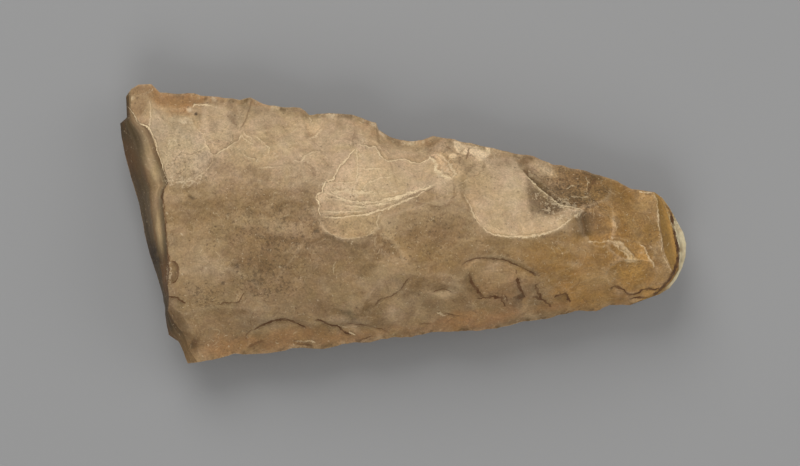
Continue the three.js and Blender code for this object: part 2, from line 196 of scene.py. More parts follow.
# Each line's points and what it does. cream is how strongly it is worn pale, and the dark ink how
# strongly it holds dark dirt in cracks and paints the shadow on the walls of steps; width is how wide
# that shows. The surface on its left drops by drop, or on its right if that is negative, and comes back
# over run. groove is how deep it is cut. shade paints shadow on the lower side beside it, left and right
# are how much lighter the stone is on that side, partly its tone and partly painted light and shade,
# and rough is how far the line strays. Widths and depths are millimetres.
LINES = {
    "bevel_arris_worn": curved(
        1.1, 45.6, 2.4, 44.1, 3.4, 42.6, 5.2, 41.5, 6.4, 39.2, 7.1, 36.7, 8, 34.4, 8.5, 32.7, 8.9, 31.8,
        cream=0.85, width=0.2, rough=1.3,
    ),
    "bevel_arris_low": curved(
        8.9, 31.8, 8, 30.6, 7.9, 28.1, 8.4, 23.9, 8.7, 20.2, 9, 17.9, 8.7, 14, 8.9, 11.7,
        soil=0.75, width=0.26, rough=2,
    ),
    "corner_arris": cornered(
        5.4, 46.3, 5.6, 45, 5.6, 44, 5.3, 41.5, cream=0.5, width=0.28, drop=0.25, run=3,
    ),
    "orange_floor": curved(
        5.6, 45.7, 6.8, 44.8, 8.2, 44.3, 10.7, 43.8, 12.4, 43.4, 13, 44.7, 14.2, 45.9, 15.4, 46.6,
        drop=0.4, run=4, left=0.06, rough=2,
    ),
    "oval_foot": curved(
        15.1, 39.9, 15.6, 38.2, 16.7, 36.6, 18.1, 37.5, 19.8, 38.3, 21.2, 39.5, 21.6, 40.8,
        cream=0.6, width=0.22, drop=0.45, run=5, rough=1.5,
    ),
    "oval_right": curved(
        23.3, 46.4, 22.8, 44.8, 22.4, 43.3, 21.8, 42, 21.1, 40.9,
        soil=0.38, width=0.34, groove=0.15, rough=1.2,
    ),
    "oval_shade": curved(18.8, 44.1, 19.8, 43.1, 20.7, 41.7, soil=0.3, width=0.7),
    "rough_foot": cornered(
        8.9, 31.6, 11.4, 32, 13.3, 32.3, 15.1, 33.7, 16.5, 35.3, 16.8, 36.6,
        cream=0.35, width=0.22, drop=0.3, run=3, right=-0.06, rough=1.5,
    ),
    "rough_inner": curved(
        12.6, 43.4, 13.3, 41.5, 14.7, 40.4, 15.2, 39.4,
        cream=0.3, width=0.22, drop=0.15, run=2, rough=1.5,
    ),
    "chevron": cornered(
        24.1, 40.1, 25.3, 39, 26.5, 38, 26.5, 36.7, cream=0.65, width=0.26, drop=0.2, run=2, left=0.06,
    ),
    "chevron_left": curved(21.6, 40.4, 22.5, 39.2, 23.9, 38.4, cream=0.5, width=0.26),
    "arc_upper": cornered(
        30.6, 35.7, 32.2, 35.5, 32.7, 36.4, 33.9, 37.1, 35.5, 37.2,
        cream=0.5, width=0.26, drop=0.2, run=3,
    ),
    "arc_lower": curved(
        32.2, 35.6, 33.4, 35, 34.4, 34.1, 34.6, 32.9, soil=0.3, width=0.35, drop=-0.2, run=3,
    ),
    "arc_small": curved(30.2, 40.4, 30.9, 41.1, 31.6, 41.6, cream=0.4, width=0.26, left=0.05),
    "ledge_upper": curved(
        33.2, 39.6, 34.6, 40.1, 35.9, 41.5, cream=0.5, width=0.4, drop=0.08, run=3, left=0.12,
    ),
    "notch_foot": cornered(
        41.9, 38.1, 42.2, 38.4, 42.9, 38.3, 44.1, 38.1, 45.1, 38.1, 45.6, 37.3, 45.9, 36.7, 46.6, 36,
        47.2, 35.7, 48.4, 35.7, 49.4, 35.9, 50.5, 35.8, 51.5, 35.4, 53, 35.2, 53.8, 35.6, 54.4, 36, 54.5,
        36.6,
        cream=0.9, width=0.24, drop=0.45, run=2, left=0.08, rough=1.2,
    ),
    "notch_shoulder": curved(42.7, 40.1, 45, 39.6, 46.6, 38.3, 48.2, 37.3, soil=0.15, width=0.8),
    "plateau_left": cornered(
        41.9, 38.1, 41.2, 37.4, 40.6, 36.7, 40, 35.8, 39, 34.8, 38.3, 33.7, 37.7, 32.3, 36.4, 31.9, 36.2,
        31.3, 35.7, 30.6, 36.1, 30.2, 35, 29.8, 34.9, 29.1, 35.4, 27.9, 35.2, 27, 35.6, 25.7,
        cream=0.95, width=0.26, drop=0.35, run=2, left=0.07, rough=1.5,
    ),
    "plateau_foot": cornered(
        35.6, 25.7, 37.6, 25.7, 40.6, 25.9, 43.6, 26.3, 45.6, 26.8, 47.7, 27.5, 50, 28.5, 51.9, 29.3,
        53.7, 30.3, 54.9, 31.1,
        cream=0.75, width=0.3, drop=0.4, run=2, left=0.02,
    ),
    "terrace_rough": curved(
        37.1, 30.4, 38.5, 30, 39.6, 30.2, 40.6, 30.4, 41.9, 30, 42.7, 30, 44.8, 30.2,
        cream=0.55, width=0.5, drop=0.12, run=1.5, left=0.02, rough=2.5,
    ),
    "terrace_main": curved(
        36.2, 30.4, 37.6, 29.7, 39.4, 29, 41.5, 28.5, 43.6, 28.4, 45.4, 28.5, 47.1, 29, 49.4, 29.6, 51.2,
        30.1,
        cream=0.7, width=0.26, drop=0.3, run=1.4, right=-0.05,
    ),
    "terrace_low": curved(
        35.5, 26.8, 38, 26.7, 41, 26.8, 43.4, 27, cream=0.55, width=0.24, drop=0.2, run=1.2,
    ),
    "plateau_seam": cornered(
        41.9, 38.1, 41.9, 35.9, 42.1, 34.3, 41.9, 32.7, 42.1, 32,
        cream=0.6, width=0.24, drop=0.1, run=2, left=0.05, rough=2,
    ),
    "plateau_seam_up": cornered(
        42, 34.3, 43.3, 34.3, 44.5, 34.3, 46.4, 34.2, cream=0.6, width=0.2, drop=0.08, run=2,
    ),
    "plateau_seam_low": curved(
        42.6, 30.6, 43.4, 31.3, 44.1, 31.9, 45.2, 32.3, 46.4, 32.7, 48.2, 32.8,
        cream=0.5, width=0.22, drop=0.1, run=2, left=0.04, rough=1.5,
    ),
    "flake_edge": cornered(
        54.5, 36.6, 55.2, 36.1, 55.8, 35.3, 55.9, 33.9, 57.2, 33, 58.5, 32.5,
        cream=1, width=0.6, drop=0.45, run=1.4, left=0.12, rough=1.3,
    ),
    "flake_right": cornered(
        55.9, 37.1, 57.2, 36.1, 58.2, 34.6, 59.2, 33.4, 58.5, 32.5,
        cream=0.6, width=0.4, drop=-0.12, run=2, left=0.1, right=0.06, rough=1.5,
    ),
    "spot_rim": curved(
        58.8, 32.1, 58.9, 30, 58, 28.3, 56.5, 27.6, 53.7, 28.1, 51.9, 28.3,
        soil=0.3, width=0.5, drop=0.35, run=3,
    ),
    "lower_scar_right": cornered(
        45.6, 23.5, 45.4, 24.8, 45.9, 26.3, 46.6, 26.9,
        cream=0.35, width=0.24, drop=0.25, run=2, left=0.05,
    ),
    "lower_scar_foot": curved(
        35.9, 23.9, 37.6, 22.8, 39.7, 22.1, 41.9, 22.1, 43.4, 22.5, 45.4, 23.3,
        cream=0.3, width=0.24, drop=0.35, run=2, left=0.1, right=-0.13,
    ),
    "speckled_left": curved(
        45.6, 23.2, 47, 22.3, 48.5, 21.2, 49.6, 19.6, 50.3, 17.9,
        cream=0.15, width=1, drop=-0.3, run=5, left=0.09,
    ),
    "oval_scar_foot": curved(
        63.5, 24.4, 64.4, 23.5, 65.7, 22.8, 67.2, 22.4, 69, 22.3, 70.6, 22.4, 72.3, 22.5, 74.3, 22.8,
        76.2, 23.4, 77.6, 24.1, 78.7, 25, 79.9, 25.9,
        cream=0.75, width=0.34, drop=0.45, run=2, left=0.1, right=-0.06,
    ),
    "oval_scar_cut": curved(
        70.6, 34.3, 72.3, 32.3, 74.1, 30.6, 76.4, 28.8, 77.6, 27.9, 79.7, 27.5, 81.5, 27,
        cream=0.8, width=0.26, drop=1.5, run=7, shade=0.85, right=0.02,
    ),
    "oval_scar_tip": curved(79.9, 25.9, 80.8, 26.3, 81.5, 26.7, cream=0.4, width=0.5, right=-0.1),
    "right_arris": curved(
        81.5, 27, 81.4, 24.8, 81.7, 22.1,
        soil=0.25, width=0.6, drop=0.5, run=6, shade=0.6, left=-0.08, right=-0.2,
    ),
    "step_mid": cornered(
        82, 21.5, 84.5, 21.4, 86.8, 21.5, 87.8, 21.6, 88.5, 21.1, 89.3, 20.1, 90.3, 19, 91.1, 18.1,
        cream=0.42, width=0.26, drop=0.5, run=4, left=0.03, rough=1.5,
    ),
    "step_right": cornered(
        91.3, 21, 92.4, 20.5, 92.8, 19.5, 93.1, 18.5, 93.9, 17.7, 94, 16.7,
        cream=0.6, width=0.26, drop=0.4, run=3, left=-0.05, right=0.14, rough=1.5,
    ),
    "crescent": curved(
        86.6, 25.7, 87.1, 24.9, 87.5, 23.9, 87.3, 23.3,
        cream=0.35, width=0.22, drop=0.2, run=2, left=-0.1, right=0.16,
    ),
    "butt_arris_worn": curved(
        94.2, 30.1, 94.7, 28.5, 94.8, 26.5, 94.9, 24.1, 95.4, 22.1, 95.4, 19.5,
        cream=0.45, width=0.24, left=-0.12,
    ),
    "butt_arris_low": curved(95.5, 19.3, 96.3, 17.7, 97.3, 15.9, cream=0.3, width=0.2),
    "butt_top": cornered(
        91.5, 30.3, 92.6, 30.2, 93.7, 30.2, 94.2, 30.1, cream=0.75, width=0.3, left=0.05, right=0.12,
    ),
    "butt_line": curved(
        96.1, 28.3, 97.2, 26.5, 97.7, 23.5, 98.3, 20.6, 98.4, 18.6, 97.3, 15.6, 95.5, 13.3, 93.5, 11.5,
        soil=1, width=0.7, groove=0.2, right=0.08, rough=0.6,
    ),
    "butt_foot": curved(
        86.1, 13.4, 87.1, 13.6, 88.3, 13.3, 89.1, 12.7, 90.1, 12.2, 91.6, 12.7, 92.8, 13.1, 94.4, 13.2,
        95.4, 13.5,
        soil=0.9, width=0.42, drop=-0.5, run=4, groove=0.15, left=0.02, right=0.08, rough=1.5,
    ),
    "butt_foot_low": curved(
        89.8, 11.4, 91.3, 11.7, 93.1, 11.5, soil=0.9, width=0.36, left=0.08, right=0.15,
    ),
    "big_arc": curved(
        59.9, 17, 60.6, 17.7, 61.3, 18.1, 62.8, 18.6, 64, 18.6, 65.6, 18.5, 66.9, 18.4, 67.9, 18.2, 68.9,
        17.8, 70.1, 17.3, 71.3, 16.7, 72.2, 16.3, 73.2, 15.8, 73.9, 15.5,
        soil=0.7, width=0.34, drop=-0.35, run=2, left=-0.09, right=0.12, rough=0.5,
    ),
    "crack_a": curved(
        61.5, 16, 61.8, 15.1, 62.1, 14.1, 62.7, 13.4, 63.2, 12.7, 63.8, 12, 64.4, 11.7,
        soil=0.85, width=0.5, groove=0.3, left=0.06, right=-0.08, rough=1.5,
    ),
    "crack_b": curved(
        69.8, 15.2, 70.2, 14.3, 70.6, 13.2, 71.1, 12.3, 71.5, 11.6,
        soil=0.95, width=0.6, groove=0.3, right=-0.15, rough=1.5,
    ),
    "crack_b_foot": curved(
        70, 12.1, 70.3, 11.4, 70.8, 11.7, 71.2, 11.5,
        soil=0.7, width=0.6, groove=0.2, left=-0.15, right=-0.2, rough=3,
    ),
    "crack_c": curved(
        73.4, 14.2, 73.5, 13.3, 73.7, 12.7, 74, 11.8, 74.4, 10.9,
        soil=0.8, width=0.5, groove=0.3, right=-0.12, rough=2.5,
    ),
    "crack_d": curved(
        76.4, 11.6, 76.7, 11.9, 77.6, 12.3, 78.5, 12.4, 78.9, 11.7, 79.4, 10.7,
        soil=0.85, width=0.48, groove=0.3, left=0.15, right=-0.15, rough=2,
    ),
    "crack_e": curved(80.4, 13.7, 81.5, 15.1, soil=0.3, width=0.4),
    "long_crease": curved(
        44.8, 10, 45.3, 10.7, 46.1, 11.4, 47.5, 11.8, 48.8, 12.6, 49.9, 13.6, 50.5, 14.5, 51.4, 15.2,
        soil=0.6, width=0.3, drop=-0.25, run=2, right=0.06, rough=1.5,
    ),
    "small_arc": curved(
        55.2, 12.7, 56.1, 13, 57.5, 13, 58.6, 12.6,
        soil=0.6, width=0.3, drop=-0.08, run=2.5, left=-0.02, right=0.08,
    ),
    "small_ledge": curved(57.3, 9, 58.5, 8.7, 60, 8.4, soil=0.6, width=0.28, drop=-0.2, run=3, right=0.06),
    "near_ledge": curved(
        39.2, 7, 40.6, 7, 42.4, 6.9, 43.9, 6.6, 45.5, 6.2, 46.6, 5.9, 47.8, 5.1,
        soil=0.55, width=0.28, drop=-0.25, run=2, left=-0.1, right=0.08,
    ),
    "near_crescent": curved(
        23.5, 5.9, 25.3, 6.8, 27, 7.5, 29.2, 7.8, 30.9, 7.3, 33.1, 6.3,
        soil=1, width=0.4, drop=-0.4, run=2, left=-0.04, right=0.08, rough=0.4,
    ),
    "near_crescent_left": curved(
        22.4, 4.1, 22.6, 5.4, 23.5, 6.1, soil=0.5, width=0.3, drop=-0.25, run=4, right=0.1,
    ),
    "near_step": curved(
        34.3, 7.7, 35.6, 7.7, 36.4, 7.2, 37.5, 6.7, 38.6, 6.6, 39.1, 6, 40, 5.4, 41.1, 5.1,
        soil=1, width=0.4, drop=-0.35, run=2, right=0.08, rough=0.7,
    ),
    "near_glint": curved(40.4, 5.7, 41, 5.4, 41.6, 5.1, cream=0.7, width=0.45, rough=2),
    "near_flute": curved(22.4, 2.6, 23.9, 3.6, 25.6, 4.1, soil=0.5, width=0.5, drop=-0.5, run=3),
    "near_flute_right": curved(30.5, 4.1, 32.1, 3.7, 33.6, 3.8, soil=0.45, width=0.5, drop=-0.3, run=2),
    "bevel_crack": curved(
        8.7, 11.8, 10.1, 11.6, 11.9, 10.7,
        soil=1, width=0.34, drop=-0.3, run=4, groove=0.2, right=-0.12, rough=1.5,
    ),
    "left_crease": curved(
        17.1, 10.1, 18.9, 10.7, 21.2, 11, 21.8, 12.1, 22.4, 12.8,
        soil=0.7, width=0.3, drop=-0.25, run=3, rough=2,
    ),
    "chip_edge": curved(
        9.3, 18, 10, 17.9, 10.4, 17.2, 10.4, 15.8, 10, 14.5, 9.3, 14.2,
        soil=0.8, width=0.4, drop=-0.4, run=1.5,
    ),
    "corner_facet": curved(
        8.9, 11.7, 9.1, 10.1, 10, 8.2, 11.4, 5.9, 13, 4, 13.5, 2, 14.2, 1,
        soil=0.2, width=0.8, drop=-0.6, run=6, left=-0.06, right=-0.08,
    ),
    "dark_pit_line": curved(12.8, 4.3, 13.5, 3.8, 13.7, 2.7, soil=0.5, width=0.6, left=-0.1, right=-0.2),
    "rim_seam": curved(61.1, 35.9, 61.4, 37.3, 61.8, 38.1, soil=0.55, width=0.4, left=0.15, right=0.1),
    "terrace_bright": curved(
        44.8, 27.7, 46.4, 28.3, 47.8, 28.8, 49.4, 29.4, 51.2, 30, 53, 30.6, 54.5, 31, 55.4, 31.5,
        cream=0.95, width=0.5, drop=-0.15, run=1.2,
    ),
    "blotch_ring": curved(
        59.8, 33, 59.5, 35, 60, 36.4, 61.6, 36.9, 63.5, 36.2, 64.2, 34.8, 63.3, 33.4, 61.4, 32.7,
        soil=0.25, width=0.4, rough=3,
    ),
    "chunk_vein": curved(57.2, 39.2, 58.1, 37.8, 59.6, 37.1, 61.2, 38.1, 61.8, 37.4, soil=0.35, width=0.4),
    "notch_ridge": curved(
        44.5, 41.5, 46.3, 40.6, 47.7, 39.2, 49.3, 38.1,
        width=0.4, drop=0.15, run=1.5, left=-0.08, right=0.04,
    ),
    "notch_ridge_low": curved(
        43.4, 42.7, 45.9, 41.9, 47.8, 40.3, 49.8, 39,
        width=0.4, drop=0.1, run=1.5, left=-0.05, right=0.05,
    ),
    "cream_step": cornered(12.8, 45, 13.3, 45.7, 14.9, 45.6, 16.5, 45.6, cream=0.8, width=0.3),
    "rim_flute": curved(30.4, 4, 32, 3.8, 33.6, 4, 34.6, 3.6, cream=0.5, width=0.3),
    "rim_flute_low": curved(31.1, 3.3, 32.9, 3.3, 34.1, 3.1, soil=0.7, width=0.4),
    "rim_glint": curved(33.6, 43.6, 33.7, 43.1, 33.8, 42.4, cream=0.5, width=0.3, rough=1.5),
    "rim_line_c": curved(
        41.3, 42.7, 41.5, 41.1, 41.2, 39.4, 41.1, 37.6, soil=0.25, width=0.24, drop=0.1, run=2, rough=1.5,
    ),
    "terrace_upper": curved(
        37.1, 30.7, 39.7, 30.1, 42.7, 29.9, 45.9, 30, 49.1, 30.4,
        cream=0.32, width=0.22, drop=0.1, run=1.2, rough=1.5,
    ),
    "terrace_fine": curved(
        35.7, 29.4, 38.9, 28.8, 41.7, 28.3, 44.5, 27.9, 47.7, 28.3, 50.1, 29.2,
        cream=0.5, width=0.22, drop=0.12, run=1.2, rough=1.5,
    ),
    "streak_d": curved(76.9, 32, 78, 32.5, 79.2, 32.3, soil=0.45, width=0.3, rough=2),
    "streak_crease": curved(
        84, 32.9, 83.4, 31.8, 82.6, 30.7, 82.4, 30, soil=0.6, width=0.4, drop=0.2, run=3, rough=1.5,
    ),
    "streak_c": curved(81.9, 33, 82.6, 32.2, 82.4, 31.1, 82, 30, cream=0.35, width=0.24, rough=2.5),
    "streak_b": curved(79.4, 29.3, 80.4, 29.6, 81.5, 29.3, 82.7, 29.5, cream=0.45, width=0.24, rough=2),
    "streak_a": curved(78.7, 30.5, 79.6, 31.1, 80.1, 31.5, 80.6, 31.3, cream=0.5, width=0.24, rough=2),
    "dash_f": curved(
        14.2, 21.8, 16.8, 22.1, 19.3, 21.6, soil=0.25, width=0.24, drop=0.1, run=2, rough=1.5,
    ),
    "dash_e": curved(
        41, 22.6, 43.4, 22.3, 45.9, 22.6, 47.8, 22.1, soil=0.3, width=0.24, drop=0.12, run=2, rough=1.5,
    ),
    "dash_d": curved(21.8, 40.9, 22.5, 40.1, 23.7, 39.4, cream=0.45, width=0.24, rough=1.5),
    "dash_c": curved(11.4, 37.1, 13, 36.8, 14.2, 37.2, 15.1, 36.7, soil=0.3, width=0.24, rough=2),
    "dash_b": curved(21.8, 37.4, 22.8, 36.5, 24.1, 35.9, cream=0.4, width=0.24, rough=2),
    "dash_a": curved(24.8, 34.4, 26.5, 34.5, 28.8, 34.6, cream=0.4, width=0.2),
    "oval_branch": curved(20, 43.1, 20.5, 42, 21, 41.2, soil=0.35, width=0.3, rough=1.5),
    "oval_scar_left": curved(
        60.6, 30, 61.1, 29, 61.8, 27.4, 62.6, 25.6, 63.5, 24.4,
        cream=0.5, width=0.24, drop=0.35, run=2.5, left=0.1, right=-0.04,
    ),
    "rim_curl": curved(42.4, 4, 43.4, 4.5, 44.3, 4.8, 45.2, 4.8, soil=0.6, width=0.3),
    "bowl_foot": curved(52.9, 7, 53.8, 7.1, 55, 7, soil=0.4, width=0.3),
    "ledge_glint": curved(55.9, 9, 56.7, 8.8, 57.5, 8.5, cream=0.6, width=0.4, rough=2),
    "near_glint_up": curved(39, 6.7, 40.4, 6.4, 42, 6.7, cream=0.35, width=0.3, rough=2),
    "step_mid_low": curved(
        86.8, 21.1, 87.8, 20.5, 88.9, 19.5, 89.4, 18.6, 88.9, 18.1, 90.7, 17.8,
        cream=0.4, width=0.36, drop=0.2, run=1.2, rough=2,
    ),
    "crack_c_foot": curved(
        72.7, 11.9, 73.6, 11.5, 74.4, 11.1, 75.2, 10.9, 75.7, 10.5, 76.2, 10,
        soil=0.85, width=0.5, rough=2.5,
    ),
    "crack_b_top": curved(69.8, 16.7, 69.8, 15.8, soil=0.45, width=0.26),
    "crack_a_side": curved(67.7, 12.2, 68.1, 11.6, 68.5, 11, soil=0.8, width=0.3, rough=1.5),
    "crack_a_foot": curved(
        62.8, 11.5, 63.7, 11.6, 64.6, 11.8, 65.3, 11.9, 66.4, 11.7, 67.2, 11.4, 67.7, 10.9, 68.2, 10,
        soil=0.85, width=0.5, rough=2.5,
    ),
    "arc_end": curved(72, 16.4, 72.7, 16, 73.4, 15.7, 74, 15.4, soil=0.8, width=0.5, rough=1.5),
    "plateau_ledge": curved(
        36.2, 31.8, 37.6, 31.9, 40.3, 31.8, 42, 32.1, cream=0.4, width=0.2, drop=0.08, run=2, rough=1.5,
    ),
    "terrace_mid": curved(
        39.7, 27.8, 41.9, 27.7, 43.6, 27.6, 45.6, 28, 47.3, 28.5, cream=0.6, width=0.3, drop=0.2, run=1.2,
    ),
}

# Scars that keep a tone of their own: the tone, how strongly, how soft the border is in
# millimetres, and the outline as points and named lines (a minus sign runs one backwards)
REGIONS = [
    ("grey_pale", 0.8, 0.4, pairs(
        5.3, 41.5, 5.6, 44, 6.8, 44.6, 10.7, 43.6, 12.4, 43.2, 13.3, 41.5, 15.1, 39.9, 16.7, 36.6, 15.1,
        33.7, 13.3, 32.3, 8.9, 31.7, 8, 34.4, 6.8, 38.2,
    )),
    ("pale", 0.75, 0.6, pairs(
        14.6, 45, 15.1, 39.9, 16.7, 36.6, 19.8, 38.3, 21.2, 39.6, 21.4, 42, 19.8, 44.6, 17, 45.6,
    )),
    ("orange", 0.75, 1.6, pairs(
        5.8, 48.9, 5.4, 46.2, 6.8, 45.2, 10.7, 44.4, 12.3, 44.2, 12.9, 45.1, 15.2, 46.2, 19, 47.2, 13.1,
        48.2, 7.1, 48.4,
    )),
    ("tan_brown", 0.5, 0.6, pairs(
        1.1, 45.6, 3.4, 42.6, 5.3, 41.5, 5.6, 44, 5.4, 46.3, 5.5, 49.6, 1.2, 49,
    )),
    ("pale", 0.85, 0.25, "notch_foot", "flake_edge", "-plateau_foot", "-plateau_left"),
    ("pale_tan", 0.95, 0.3, pairs(
        35.8, 23.9, 37.6, 22.8, 39.7, 22.1, 41.9, 22.1, 43.3, 22.5, 45.4, 23.4, 45.4, 24.8, 45.9, 26.3,
        42, 26.4, 35.6, 25.9,
    )),
    ("pink_cream", 0.45, 0.4, "flake_edge", "-flake_right"),
    # The next regions: pale chips and flakes, laid brighter than their own tone as painted light
    ("chalk", 0.4, 0.35,
        "step_mid_low",
        pairs(91.2, 18, 90.3, 19, 89.3, 20.1, 88.5, 21.1, 87.8, 21.6, 86.8, 21.4),
    ),
    ("chalk", 0.85, 0.25, pairs(
        58.8, 39.1, 60, 38.9, 61.4, 38.5, 64.9, 38.1, 64.8, 37.8, 62.3, 37.7, 61.4, 37.4, 61.1, 36.7,
        59.6, 37.3,
    )),
    ("chalk", 0.95, 0.25, pairs(61.9, 38, 64.8, 38, 65.3, 36.9, 63.9, 35.9, 62.3, 36.4)),
    ("chalk", 0.6, 0.3, pairs(58.2, 36.9, 59.1, 37, 59.3, 36.2, 58.4, 36.1)),
    ("pale", 0.5, 0.3, pairs(69.9, 36.7, 70.6, 36.8, 70.7, 36.2, 69.9, 36.1)),
    ("pale", 0.75, 0.3,
        "oval_scar_left",
        "oval_scar_foot",
        "oval_scar_tip",
        "-oval_scar_cut",
        pairs(69.5, 36.4, 64.5, 36.2, 61, 33.4),
    ),
    ("shade", 0.66, 1, pairs(
        71.6, 32.6, 72.2, 26.9, 75, 26.2, 78, 27.2, 78.7, 27.9, 75, 30.7, 73.4, 32.2,
    )),
    ("umber", 0.75, 0.3, pairs(9.2, 18, 10, 17.9, 10.4, 17.2, 10.4, 15.8, 10, 14.5, 9.2, 14.3, 9, 16.2)),
]

# Soft patches of tone: the tone, middle x and y, half size along and across, turn in degrees,
# how strongly, and how soft the border is where that isn't the usual
STAINS = [
    ("pale", 22.1, 39.4, 23.8, 8.1, -5, 0.72),
    ("pale", 39.7, 36.9, 12.6, 7, 0, 0.5),
    ("pale", 51, 37.6, 5, 2.2, 0, 0.5),
    ("pale", 63, 36, 8, 4, -12, 0.75),
    ("pale", 36, 40.5, 14, 5.2, -5, 0.75),
    ("pale", 4, 44.5, 4.5, 4, 0, 0.5),
    ("pale_tan", 92, 27.5, 3.4, 4, 0, 0.4),
    ("pale", 48.5, 32.7, 13.2, 7, -8, 0.45, 0.8),
    ("umber", 28.6, 28.5, 8.1, 2.1, 8, 0.55),
    ("umber", 14.2, 27.9, 6, 2.8, 0, 0.2),
    ("umber", 31.8, 20.9, 10.6, 5.3, 10, 0.3),
    ("pale", 13.5, 17.9, 4.6, 6.3, 0, 0.3),
    ("umber", 53.7, 22.5, 9.5, 4.9, 4, 0.25, 0.8),
    ("umber", 41, 17.9, 7, 4.2, 0, 0.18),
    ("olive", 56.5, 17.9, 10.6, 4.2, 0, 0.25),
    ("olive", 77.6, 15.9, 12.3, 7, -8, 0.7),
    ("orange", 84, 12.5, 8, 3.4, 6, 0.5),
    ("olive", 88.2, 23.2, 7.8, 7.8, 0, 0.8),
    ("olive", 93.8, 24.9, 2.1, 7, 0, 0.35, 0.8),
    ("olive", 87, 20, 14, 12, -8, 0.5),
]

